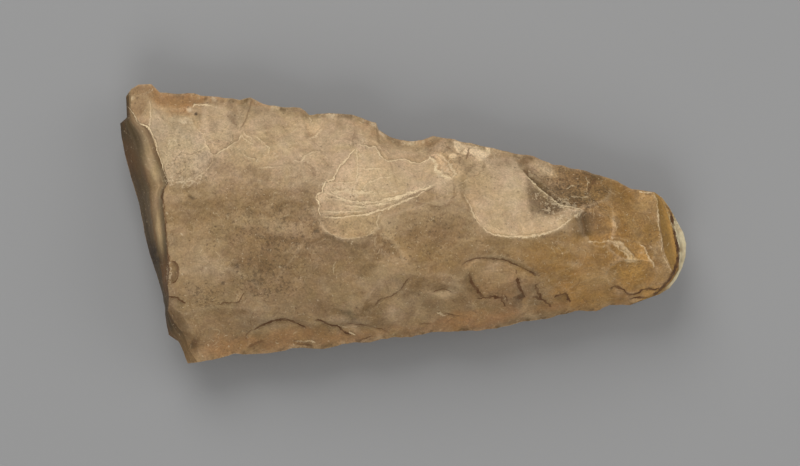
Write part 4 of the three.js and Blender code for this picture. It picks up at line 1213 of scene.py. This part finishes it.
def upper_tones(stone, grid, facts, tones):
    """The upper face's colour at each point."""
    x, y = grid["x"], grid["y"]
    coat = Coat(tones, x.shape)
    lay = coat.lay
    warp_x = x + 1.6 * noise(x, y, 6, 51) + 0.5 * noise(x, y, 2, 52)
    warp_y = y + 1.6 * noise(x, y, 6, 53) + 0.5 * noise(x, y, 2, 54)
    ragged = layered_noise(x, y, 3, 55)

    def patch(mx, my, half_x, half_y, turn, soft=0.9):
        middle = stone.place((mx, my))
        warp = 1 if half_x >= 1 else 0
        dx, dy = mix(x, warp_x, warp) - middle[0], mix(y, warp_y, warp) - middle[1]
        reach = oval_reach(stone, dx, dy, half_x, half_y, turn)
        return 1 - smoothstep(1 - soft, 1 + soft * 0.5, reach + 0.12 * warp * ragged)

    def stain(patches):
        for name, mx, my, half_x, half_y, turn, strength, *soft in patches:
            lay(name, strength * patch(mx, my, half_x, half_y, turn, *soft))

    stain(STAINS)
    lay("umber", 0.4 * smoothstep(0.05, 0.9, layered_noise(x * 0.6, y, 7, 56, 4, 0.65)))
    lay("pale", 0.3 * smoothstep(0.1, 0.9, layered_noise(x * 0.6 + 90, y, 8, 57, 4, 0.65)))
    lay("umber", 0.13 * smoothstep(0.05, 0.3, layered_noise(x * 0.4, y, 2.4, 58, 4, 0.7)))
    lay("pale", 0.1 * smoothstep(0.05, 0.3, layered_noise(x * 0.4, y + 50, 2.2, 59, 4, 0.7)))
    for name, strength, soft, *parts in REGIONS:
        loop = outline_of(stone, parts)
        near = in_box_of(loop, 1, x, y)
        mask = np.zeros(x.shape)
        inside = enclosed(loop, x[near], y[near])
        distance = offset_from(np.concatenate([loop, loop[:1]]), x[near], y[near])[0]
        signed = np.where(inside, distance, -distance)
        border = signed + 0.5 * ragged[near]
        mask[near] = strength * smoothstep(-soft, soft, border) * (1 + 0.2 * ragged[near])
        lay(name, mask)
    stain(PATCHES)
    # painted shadow beside deep steps, on their lower side
    lay("shade", facts["shade"])
    width = y[:, -1:] - y[:, :1]
    for t, seed in ((grid["t"], 91), (1 - grid["t"], 92)):
        inwards = t * width + 0.5 * noise(x, y, 2.2, seed + 5)
        at_rim = smoothstep(1.7, 0.5, inwards) * smoothstep(0.02, 0.05, grid["body"])
        change = layered_noise(x, 0 * x, 5, seed) + 0.3 * ragged
        lay("shade", 0.6 * at_rim * smoothstep(0.12, 0.3, change))
        clear = smoothstep(0.1, 0.14, grid["body"]) * smoothstep(0.7, 0.66, grid["body"])
        lay("cream", (0.5 if seed == 92 else 0.15) * clear * at_rim * smoothstep(-0.2, -0.36, change))
    body = (grid["bevel"] >= 1) & (grid["butt"] <= 0)
    # Hollows darker and ridges paler, from how far each point stands proud: worn ridges and dirt in hollows,
    # and painted shade in the hollows and painted highlight on the ridges too; the pale is weaker on the near
    # half
    fine, broad = facts["fine_proud"] * body, facts["broad_proud"] * body
    lay("umber", np.clip(-fine * 1.5 - broad * 0.3, 0, 0.3))
    lay("pale", np.clip(fine * 1.5 + broad * 0.2, 0, 0.3) * mix(0.3, 1, smoothstep(0.3, 0.5, grid["t"])))

    def gathered(least, places):
        amount = np.full(x.shape, least)
        for mx, my, half_x, half_y, turn, strength in places:
            amount = np.maximum(amount, least + strength * patch(mx, my, half_x, half_y, turn, 0.8))
        return amount

    bevel, along = grid["bevel"], grid["t"]
    on_bevel = (bevel < 1).astype(float)

    def band(middle, half):
        return on_bevel * np.exp(-((along - middle) / half) ** 2)

    streak = layered_noise(bevel * 7, y / 30, 1, 61)
    upper = smoothstep(0.7, 0.82, along)
    # painted highlight: a light band along the bevel's gentler inner facet, weaker towards the far end
    light = np.exp(-((bevel - mix(0.68, 0.82, upper)) / 0.2) ** 2) * smoothstep(0.36, 0.5, along)
    light = light * mix(1, 0.6, upper)
    corner = smoothstep(0.16, 0.06, along)
    # the whole bevel darker, partly its brown and partly painted shade for a facet turned from the light;
    # then the painted highlight band over light streaks
    lay("bevel_dark", on_bevel * (1 - 0.6 * corner))
    lay("bevel_highlight_and_streaks", on_bevel * np.clip(0.85 * light + 0.12 * streak + 0.04, 0, 1))
    lay("bevel_brown", on_bevel * 0.4 * smoothstep(0.1, 0.4, layered_noise(bevel * 3 + 30, y / 14, 1, 62)))
    lay("bevel_brown", 0.7 * band(0.76, 0.06) * smoothstep(0.5, 0.2, bevel))
    lay("bevel_brown", 0.8 * band(0.33, 0.06) * smoothstep(0.35, 0.55, bevel))
    lay("pit", 0.85 * band(0.41, 0.045) * smoothstep(0.5, 0.3, bevel + 0.2 * ragged))
    # painted shadow: a thin dark line just beside the bevel's arris
    lay("soil", on_bevel * 0.4 * smoothstep(0.92, 0.98, bevel + 0.02 * ragged) * smoothstep(0.95, 0.8, along))
    # painted shade along the steep outer facet, by the cutting edge
    lay("pit", on_bevel * 0.3 * smoothstep(0.35, 0.1, bevel) * (1 - corner))
    lay("umber", corner * 0.7 * (bevel < 1))

    butt = grid["butt"]
    lay("butt_tan", (butt > 0) * 0.9)
    lay("gold", (butt > 0) * 0.6 * smoothstep(0.3, 0.42, butt) * smoothstep(0.1, 0.3, along))
    crust = smoothstep(1 - CORTEX_SHARE - 0.02, 1 - CORTEX_SHARE + 0.06, butt)
    side = smoothstep(0.1, 0.3, along) * (1 - 0.9 * smoothstep(0.74, 0.86, along))
    lay("cortex", crust * side * np.clip(1 + 0.6 * ragged, 0.3, 1))
    lay("cream", 0.1 * facts["ridge"])
    grit = {"speckle": gathered(0.3, SPECKLED), "crumbs": gathered(0, CRUMBLY)}
    grit["grain"] = gathered(1, GRAINY) * np.where(body, 1, 0.6)
    # the sides of the lines made lighter or darker: partly tone, partly painted light and shade
    return coat.colour * np.clip(1 + facts["light"], 0.6, 1.4)[..., None] ** 2.2, grit


def belly_tones(stone, grid, facts, tones):
    """The belly's colour at each point, plainer but in keeping."""
    x, y = grid["x"], grid["y"]
    coat = Coat(tones, x.shape)
    lay = coat.lay
    lay("pale", 0.55 * smoothstep(-0.1, 0.7, layered_noise(x, y, 24, 71)))
    lay("umber", 0.5 * smoothstep(0.0, 0.8, layered_noise(x, y, 19, 72)))
    lay("olive", 0.5 * smoothstep(0.6, 0.95, grid["along"]))
    rims = 1 - smoothstep(0, 0.14, np.minimum(grid["t"], 1 - grid["t"]))
    lay("orange", 0.5 * rims * smoothstep(-0.3, 0.6, noise(x, y, 14, 73)))
    lay("cream", 0.4 * facts["ridge"])
    lay("cortex", smoothstep(1 - CORTEX_SHARE, 1 - CORTEX_SHARE + 0.1, grid["butt"]) * 0.8)
    return coat.colour, {"speckle": 0.3 + 0.3 * noise(x, y, 20, 74), "crumbs": 0 * x, "grain": 1 + 0 * x}


# ---- Meshes ----


def deselect_all():
    if bpy.context.object and bpy.context.object.mode != "OBJECT":
        bpy.ops.object.mode_set(mode="OBJECT")
    bpy.ops.object.select_all(action="DESELECT")


def face_object(name, grid, height, offset, facing_up):
    """One face of the stone: a grid whose points are moved to their places."""
    deselect_all()
    bpy.ops.mesh.primitive_grid_add(x_subdivisions=COLUMNS, y_subdivisions=ROWS, size=2)
    face = bpy.context.object
    face.name = name
    mesh = face.data
    flat = np.empty(len(mesh.vertices) * 3, np.float32)
    mesh.vertices.foreach_get("co", flat)
    flat = flat.reshape(-1, 3)
    column = np.rint((flat[:, 0] + 1) / 2 * COLUMNS).astype(int)
    row = np.rint((flat[:, 1] + 1) / 2 * ROWS).astype(int)
    place = np.stack([grid["x"], grid["y"], height], axis=-1)[column, row] - offset
    mesh.vertices.foreach_set("co", (place * MM).astype(np.float32).ravel())
    if not facing_up:
        bpy.ops.object.mode_set(mode="EDIT")
        bpy.ops.mesh.select_all(action="SELECT")
        bpy.ops.mesh.flip_normals()
        bpy.ops.object.mode_set(mode="OBJECT")
    mesh.update()
    return face, (column, row)


def write_attribute(mesh, name, kind, values):
    attribute = mesh.attributes.new(name, kind, "POINT")
    field = {"FLOAT_COLOR": "color", "FLOAT_VECTOR": "vector", "FLOAT": "value"}[kind]
    attribute.data.foreach_set(field, np.ascontiguousarray(values, np.float32).ravel())


def finish_attributes(face, at, finish, inks=None):
    """Writes the tones and lines that the material reads."""
    column, row = at
    colour, grit = finish
    for name, amount in grit.items():
        write_attribute(face.data, name, "FLOAT", amount[column, row])
    count = len(face.data.vertices)
    alpha = np.ones((count, 1))
    write_attribute(face.data, "patina", "FLOAT_COLOR", np.hstack([colour[column, row], alpha]))
    for ink, prefix in (("cream", "worn"), ("soil", "soiled_and_shadowed")):
        away = inks[ink][0][column, row] if inks else np.full((count, 3), 9.0)
        strong = inks[ink][1][column, row] if inks else np.zeros((count, 3))
        write_attribute(face.data, prefix + "_distance", "FLOAT_VECTOR", away)
        write_attribute(face.data, prefix + "_strength", "FLOAT_VECTOR", strong)


def thin_out(face, at):
    """Thins the belly's triangles, but none on its rim."""
    column, row = at
    inner = (column > 1) & (column < COLUMNS - 1) & (row > 1) & (row < ROWS - 1)
    group = face.vertex_groups.new(name="inner")
    group.add([int(i) for i in np.flatnonzero(inner)], 1.0, "REPLACE")
    modifier = face.modifiers.new("thin", "DECIMATE")
    modifier.ratio = BELLY_KEPT
    modifier.vertex_group = group.name
    modifier.use_collapse_triangulate = True
    bpy.context.view_layer.objects.active = face
    bpy.ops.object.modifier_apply(modifier=modifier.name)
    face.vertex_groups.clear()


def make_axe_head(sizes, colours):
    stone = Stone(sizes)
    grid = plan_grid(stone)
    tones = {name: np.array(getattr(colours, name)[:3]) for name in type(colours).__annotations__}
    upper, upper_facts = upper_face(stone, grid)
    belly, belly_facts = belly_face(stone, grid)
    offset = np.array([(grid[axis].min() + grid[axis].max()) / 2 for axis in ("x", "y")] + [0])

    top, top_at = face_object("flint_upper", grid, upper, offset, True)
    finish_attributes(top, top_at, upper_tones(stone, grid, upper_facts, tones), upper_facts["inks"])
    bottom, bottom_at = face_object("flint_belly", grid, belly, offset, False)
    finish_attributes(bottom, bottom_at, belly_tones(stone, grid, belly_facts, tones))
    thin_out(bottom, bottom_at)

    deselect_all()
    bottom.select_set(True)
    top.select_set(True)
    bpy.context.view_layer.objects.active = top
    bpy.ops.object.join()
    bpy.ops.object.mode_set(mode="EDIT")
    bpy.ops.mesh.select_all(action="SELECT")
    bpy.ops.mesh.remove_doubles(threshold=WELD_DISTANCE)
    bpy.ops.object.mode_set(mode="OBJECT")
    bpy.ops.object.shade_smooth_by_angle(angle=math.radians(SMOOTH_ANGLE))
    top.name = "flaked_flint"
    top.data.name = "flaked_flint"
    return top


# ---- Materials ----


class Wiring:
    """Adds nodes to a tree, already joined up."""

    def __init__(self, tree):
        self.tree = tree

    def add(self, kind, inputs, **settings):
        node = self.tree.nodes.new("ShaderNode" + kind)
        for name, value in settings.items():
            setattr(node, name, value)
        for name, value in inputs.items():
            if isinstance(value, bpy.types.NodeSocket):
                self.tree.links.new(value, node.inputs[name])
            else:
                node.inputs[name].default_value = value
        return node

    def maths(self, operation, *values):
        return self.add("Math", dict(enumerate(values)), operation=operation).outputs[0]

    def vector(self, operation, *values):
        return self.add("VectorMath", dict(enumerate(values)), operation=operation).outputs[0]

    def ranged(self, value, *limits):
        """A value eased from one range, low to high, to another."""
        settings = {"interpolation_type": "SMOOTHSTEP", "clamp": True}
        return self.add("MapRange", dict(enumerate((value, *limits))), **settings).outputs[0]

    def each_ranged(self, value, *limits):
        """The same for each part of a vector."""
        settings = {"data_type": "FLOAT_VECTOR", "interpolation_type": "SMOOTHSTEP", "clamp": True}
        inputs = {6: value, **{7 + k: (limit,) * 3 for k, limit in enumerate(limits)}}
        return self.add("MapRange", inputs, **settings).outputs[1]

    def largest(self, value):
        """The largest part of a vector."""
        x, y, z = self.add("SeparateXYZ", {0: value}).outputs
        return self.maths("MAXIMUM", self.maths("MAXIMUM", x, y), z)

    def attribute(self, name, output="Fac"):
        return self.add("Attribute", {}, attribute_name=name).outputs[output]


def line_mask_group():
    """How strongly a point is on a line, from its distances in line widths and the lines' strengths,
    and the painted shade a little way off each line on its lower side.
    """
    group = bpy.data.node_groups.new("line_mask", "ShaderNodeTree")
    for name, kind, way in (
        ("Distance", "Vector", "INPUT"), ("Strength", "Vector", "INPUT"), ("Breakup", "Float", "INPUT"),
        ("Jitter", "Float", "INPUT"), ("Mask", "Float", "OUTPUT"), ("PaintedShade", "Float", "OUTPUT"),
    ):
        group.interface.new_socket(name, in_out=way, socket_type="NodeSocket" + kind)
    wiring = Wiring(group)
    given = group.nodes.new("NodeGroupInput").outputs
    away = wiring.vector("ABSOLUTE", wiring.vector("ADD", given["Distance"], given["Jitter"]))
    strong = wiring.vector("MULTIPLY", wiring.each_ranged(away, 0.5, 1.0, 1.0, 0.0), given["Strength"])
    # painted shade: a dark band a little way off the line on its lower side, where a step's foot lies in
    # shadow
    low_side = wiring.each_ranged(given["Distance"], 0.9, 1.4, 0.0, 1.0)
    close = wiring.each_ranged(given["Distance"], 1.6, 2.8, 1.0, 0.0)
    painted_shade = wiring.vector("MULTIPLY", wiring.vector("MULTIPLY", low_side, close), given["Strength"])
    result = group.nodes.new("NodeGroupOutput").inputs
    mask = wiring.maths("MULTIPLY", wiring.largest(strong), given["Breakup"])
    group.links.new(mask, result["Mask"])
    group.links.new(wiring.largest(painted_shade), result["PaintedShade"])
    return group


def flint_material(colours):
    """Patinated flint: the tones and lines of the mesh, with mottling, specks and fine grain."""
    material = bpy.data.materials.new("patinated_flint")
    material.use_nodes = True
    tree = material.node_tree
    shader = tree.nodes["Principled BSDF"]
    wiring = Wiring(tree)
    maths, ranged, attribute = wiring.maths, wiring.ranged, wiring.attribute
    where = wiring.add("TexCoord", {}).outputs["Object"]

    def noise_of(scale, detail, roughness, shift, distortion=0.0):
        inputs = {"Vector": wiring.vector("ADD", where, (shift,) * 3), "Distortion": distortion}
        inputs.update({"Scale": scale, "Detail": detail, "Roughness": roughness})
        return wiring.add("TexNoise", inputs).outputs["Fac"]

    def tinted(mask, low, high):
        """The colour low, with the tone high laid over it."""
        return wiring.add("Mix", {0: mask, 6: low, 7: (*high[:3], 1)}, data_type="RGBA").outputs[2]

    mottle = noise_of(420, 6, 0.7, 0.3, 0.5)
    fine = noise_of(1700, 2, 0.6, 0.7)
    lightness = maths("MULTIPLY", ranged(mottle, 0.3, 0.7, 0.94, 1.05), ranged(fine, 0.3, 0.7, 0.88, 1.12))
    # flat patches of tone with crisp, ragged borders, from large to small
    sizes = ((90, 0.975, 1.025), (170, 0.975, 1.025), (330, 0.97, 1.02), (650, 0.955, 1.02))
    for k, (scale, low, high) in enumerate(sizes):
        patches = ranged(noise_of(scale, 6, 0.62, 3.1 + k, 0.7), 0.492, 0.508, low, high)
        lightness = maths("MULTIPLY", lightness, patches)
    grain = attribute("grain")
    lightness = maths("ADD", 1.0, maths("MULTIPLY", grain, maths("SUBTRACT", lightness, 1.0)))
    greenish = ranged(noise_of(150, 3, 0.6, 5.3, 0.8), 0.35, 0.65, -0.013, 0.013)
    yellowish = ranged(noise_of(100, 3, 0.6, 6.1, 0.8), 0.35, 0.65, -0.045, 0.045)
    red = maths("MULTIPLY", lightness, maths("SUBTRACT", 1.0, greenish))
    green = maths("MULTIPLY", lightness, maths("ADD", 1.0, maths("MULTIPLY", greenish, 0.5)))
    blue = maths("MULTIPLY", lightness, maths("SUBTRACT", 1.0, yellowish))
    value = wiring.add("CombineColor", {0: red, 1: green, 2: blue}).outputs[0]
    patina = {0: 1.0, 6: attribute("patina", "Color"), 7: value}
    toned = wiring.add("Mix", patina, data_type="RGBA", blend_type="MULTIPLY").outputs[2]

    gathered = ranged(noise_of(130, 3, 0.6, 7.7), 0.4, 0.65, -0.02, 0.03)
    bar = maths("SUBTRACT", maths("SUBTRACT", 0.68, maths("MULTIPLY", attribute("speckle"), 0.12)), gathered)
    specks = ranged(maths("SUBTRACT", noise_of(1100, 4, 0.65, 1.1, 0.6), bar), 0.0, 0.05, 0.0, 0.5)
    toned = tinted(specks, toned, colours.speck)
    flecks = maths("ADD", noise_of(1100, 3, 0.6, 1.9, 0.8), maths("MULTIPLY", attribute("crumbs"), 0.2))
    toned = tinted(ranged(flecks, 0.65, 0.69, 0.0, 0.45), toned, colours.cream)

    # hairlines, where noise crosses its middle
    for scale, shift, strength, tone in ((120, 9.1, 0.22, colours.worn_edge), (95, 10.7, 0.4, colours.soil)):
        away = maths("ABSOLUTE", maths("SUBTRACT", noise_of(scale, 4, 0.55, shift, 0.8), 0.5))
        broken = ranged(noise_of(190, 2, 0.5, shift + 0.6), 0.5, 0.62, 0.0, strength)
        broken = maths("MULTIPLY", broken, ranged(grain, 0.7, 1.0, 0.0, 1.0))
        toned = tinted(maths("MULTIPLY", ranged(away, 0.0, 0.011, 1.0, 0.0), broken), toned, tone)

    group = line_mask_group()
    lines = []
    kinds = (("worn", 0.36, 0.52, 0.3, 0.9), ("soiled_and_shadowed", 0.25, 0.45, 0.6, 0.45))
    for prefix, low, high, least, shake in kinds:
        inputs = {
            "Distance": attribute(prefix + "_distance", "Vector"),
            "Strength": attribute(prefix + "_strength", "Vector"),
            "Breakup": ranged(noise_of(520, 4, 0.7, len(lines) + 2.5), low, high, least, 1.0),
            "Jitter": ranged(noise_of(1300, 3, 0.7, len(lines) + 6.5), 0.25, 0.75, -shake, shake),
        }
        node = tree.nodes.new("ShaderNodeGroup")
        node.node_tree = group
        for name, value in inputs.items():
            tree.links.new(value, node.inputs[name])
        lines.append(node.outputs)
    worn, soiled_and_shadowed = (outputs["Mask"] for outputs in lines)
    # painted shade beside the lines' lower sides, then the pale worn lines, then the dark lines of dirt and
    # painted shadow
    painted_shade = maths("MULTIPLY", maths("MAXIMUM", *(outputs["PaintedShade"] for outputs in lines)), 0.32)
    for mask, tone in ((painted_shade, colours.shade), (worn, colours.worn_edge), (soiled_and_shadowed, colours.soil)):
        toned = tinted(mask, toned, tone)
    tree.links.new(toned, shader.inputs["Base Color"])

    rough = maths("ADD", ranged(mottle, 0.3, 0.7, 0.52, 0.7), maths("MULTIPLY", worn, 0.15))
    tree.links.new(rough, shader.inputs["Roughness"])
    shader.inputs["Specular IOR Level"].default_value = 0.28

    relief = maths("ADD", maths("MULTIPLY", mottle, 0.5), maths("MULTIPLY", fine, 0.35))
    relief = maths("SUBTRACT", relief, maths("MULTIPLY", maths("MAXIMUM", soiled_and_shadowed, specks), 0.5))
    bump = wiring.add("Bump", {"Height": relief, "Strength": 0.5, "Distance": 0.0007})
    tree.links.new(bump.outputs[0], shader.inputs["Normal"])
    return material


def plain_material(name, colour, roughness):
    material = bpy.data.materials.new(name)
    material.use_nodes = True
    shader = material.node_tree.nodes["Principled BSDF"]
    shader.inputs["Base Color"].default_value = (*colour, 1)
    shader.inputs["Roughness"].default_value = roughness
    return material


# ---- Settings, operators and panel ----


def length_property(name, description, default):
    return bpy.props.FloatProperty(
        name=name, description=description, default=default, min=0, unit="LENGTH", precision=4
    )


def colour_property(name, description, seen):
    return bpy.props.FloatVectorProperty(
        name=name, description=description, default=tuple(linear(seen)), size=3, min=0, max=1, subtype="COLOR"
    )


class FLINT_PG_sizes(bpy.types.PropertyGroup):
    length: length_property("Length", "Cutting edge to butt", HIGH[0] - LOW[0])
    width: length_property("Width", "Across the wide end", HIGH[1] - LOW[1])
    thickness: length_property("Thickness", "Table to the crest of the blank", 36 * MM)
    rim_height: length_property("Rim height", "Table to the rim along both long sides", 15 * MM)
    cutting_edge_height: length_property("Cutting edge height", "Table to its middle", 10.5 * MM)
    butt_rim_height: length_property("Butt rim height", "Table to the rim at the tip of the butt", 13 * MM)
    rim_sway: length_property("Rim sway", "How far the rim weaves up and down", 1.3 * MM)
    flat_depth: length_property("Flat depth", "How much the resting flat takes off the belly", 2.2 * MM)
    relief: bpy.props.FloatProperty(
        name="Relief", description="Strength of the gentle waves and grain", default=1.0, min=0, max=3
    )


class FLINT_PG_colours(bpy.types.PropertyGroup):
    ground: colour_property("Ground", "The main tan", (160, 130, 91))
    pale: colour_property("Pale", "Pale patina of the younger scars", (212, 182, 143))
    grey_pale: colour_property("Grey pale", "Pale patina with a grey cast", (201, 175, 139))
    pale_tan: colour_property("Pale tan", "Between the pale patina and the ground", (188, 158, 118))
    pink_cream: colour_property("Pink cream", "The fresh flake beside the plateau", (234, 200, 160))
    # Pale chips of the far rim, made brighter than their tone: painted light
    chalk: colour_property("Chalk", "The bright chips of the far rim", (255, 224, 178))
    cream: colour_property("Cream", "Worn edges and chalky flakes", (232, 208, 170))
    worn_edge: colour_property("Worn edge", "The palest lines, where edges are worn", (246, 220, 176))
    umber: colour_property("Umber", "The darker brown of the middle", (126, 97, 62))
    olive: colour_property("Olive", "The brown with an olive cast towards the butt", (159, 117, 57))
    gold: colour_property("Gold", "The golden bowl near the butt", (194, 146, 76))
    orange: colour_property("Orange", "The thin stone along the rims", (176, 128, 80))
    tan_brown: colour_property("Tan brown", "The corner beside the cutting edge", (164, 128, 90))
    olive_grey: colour_property("Olive grey", "The facet of the near corner", (98, 82, 56))
    grey: colour_property("Grey", "The streaky grey scar", (130, 101, 66))
    shade: colour_property("Shade", "Dark beside deep steps", (98, 76, 46))
    speck: colour_property("Speck", "Small dark specks of manganese stain", (92, 74, 52))
    pit: colour_property("Pit", "Small dark pits", (60, 46, 32))
    # Dark dirt held in cracks, and painted shadow on the walls of steps turned from the light
    soil: colour_property("Soil", "Dark soil held in cracks and steps", (102, 68, 38))
    # The bevel's dark is partly its brown and partly painted shade; its light is partly light streaks and
    # partly a painted highlight
    bevel_dark: colour_property("Bevel dark", "The dark streaks of the bevel", (86, 70, 46))
    bevel_highlight_and_streaks: colour_property("Bevel light", "The light streaks of the bevel", (210, 178, 134))
    bevel_brown: colour_property("Bevel brown", "The brown streaks of the bevel", (122, 88, 56))
    butt_tan: colour_property("Butt tan", "The butt's inner slope", (164, 124, 62))
    cortex: colour_property("Cortex", "Chalky skin left on the butt", (255, 238, 190))


class FLINT_OT_axe_head(bpy.types.Operator):
    """Makes the flaked axe head, as one closed piece"""

    bl_idname = "flint.axe_head"
    bl_label = "Flaked axe head"

    def execute(self, context):
        colours = context.scene.flint_colours
        stone = make_axe_head(context.scene.flint_sizes, colours)
        stone.data.materials.clear()
        stone.data.materials.append(flint_material(colours))
        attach(stone, "root")
        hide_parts("axe_head")
        return {"FINISHED"}


def area_light(name, place, size, power):
    """A round light that faces the stone."""
    bpy.ops.object.light_add(type="AREA", location=place)
    light = bpy.context.object
    light.name = name
    light.data.shape = "DISK"
    light.data.size = size
    light.data.energy = power
    way = np.array(LIT_SPOT) - np.array(place)
    pitch = math.atan2(math.hypot(way[0], way[1]), -way[2])
    light.rotation_euler = (pitch, 0, math.atan2(way[1], way[0]) - math.pi / 2)


class FLINT_OT_stage(bpy.types.Operator):
    """Makes the floor, the lights and the camera"""

    bl_idname = "flint.stage"
    bl_label = "Stage"

    def execute(self, context):
        deselect_all()
        bpy.ops.mesh.primitive_plane_add(size=FLOOR_SIZE)
        floor = context.object
        floor.name = "floor"
        floor.data.materials.append(plain_material("pale_floor", (FLOOR_TONE,) * 3, 0.9))

        world = bpy.data.worlds.new("studio")
        world.use_nodes = True
        world.node_tree.nodes["Background"].inputs["Color"].default_value = (1, 1, 1, 1)
        world.node_tree.nodes["Background"].inputs["Strength"].default_value = SKY_STRENGTH
        context.scene.world = world
        for light in LIGHTS:
            area_light(*light)

        bpy.ops.object.camera_add(location=CAMERA_PLACE, rotation=(0, 0, 0))
        camera = context.object
        camera.data.lens = LENS
        camera.data.sensor_width = 36
        camera.data.clip_end = 20
        context.scene.camera = camera
        context.scene.view_settings.view_transform = "Standard"
        return {"FINISHED"}


class FLINT_PT_panel(bpy.types.Panel):
    """The axe head's sizes, colours and making, in the sidebar"""

    bl_label = "Flaked flint axe head"
    bl_idname = "FLINT_PT_panel"
    bl_space_type = "VIEW_3D"
    bl_region_type = "UI"
    bl_category = "Flint"

    def draw(self, context):
        layout = self.layout
        for settings in (context.scene.flint_sizes, context.scene.flint_colours):
            box = layout.box()
            for name in type(settings).__annotations__:
                box.prop(settings, name)
        for operator in (FLINT_OT_axe_head, FLINT_OT_stage):
            layout.operator(operator.bl_idname)


CLASSES = [FLINT_PG_sizes, FLINT_PG_colours, FLINT_OT_axe_head, FLINT_OT_stage, FLINT_PT_panel]


def register():
    for kind in CLASSES:
        bpy.utils.register_class(kind)
    bpy.types.Scene.flint_sizes = bpy.props.PointerProperty(type=FLINT_PG_sizes)
    bpy.types.Scene.flint_colours = bpy.props.PointerProperty(type=FLINT_PG_colours)


def unregister():
    del bpy.types.Scene.flint_sizes
    del bpy.types.Scene.flint_colours
    for kind in reversed(CLASSES):
        bpy.utils.unregister_class(kind)


def main():
    register()
    bpy.ops.flint.axe_head()
    bpy.ops.flint.stage()


if __name__ == "__main__":
    main()
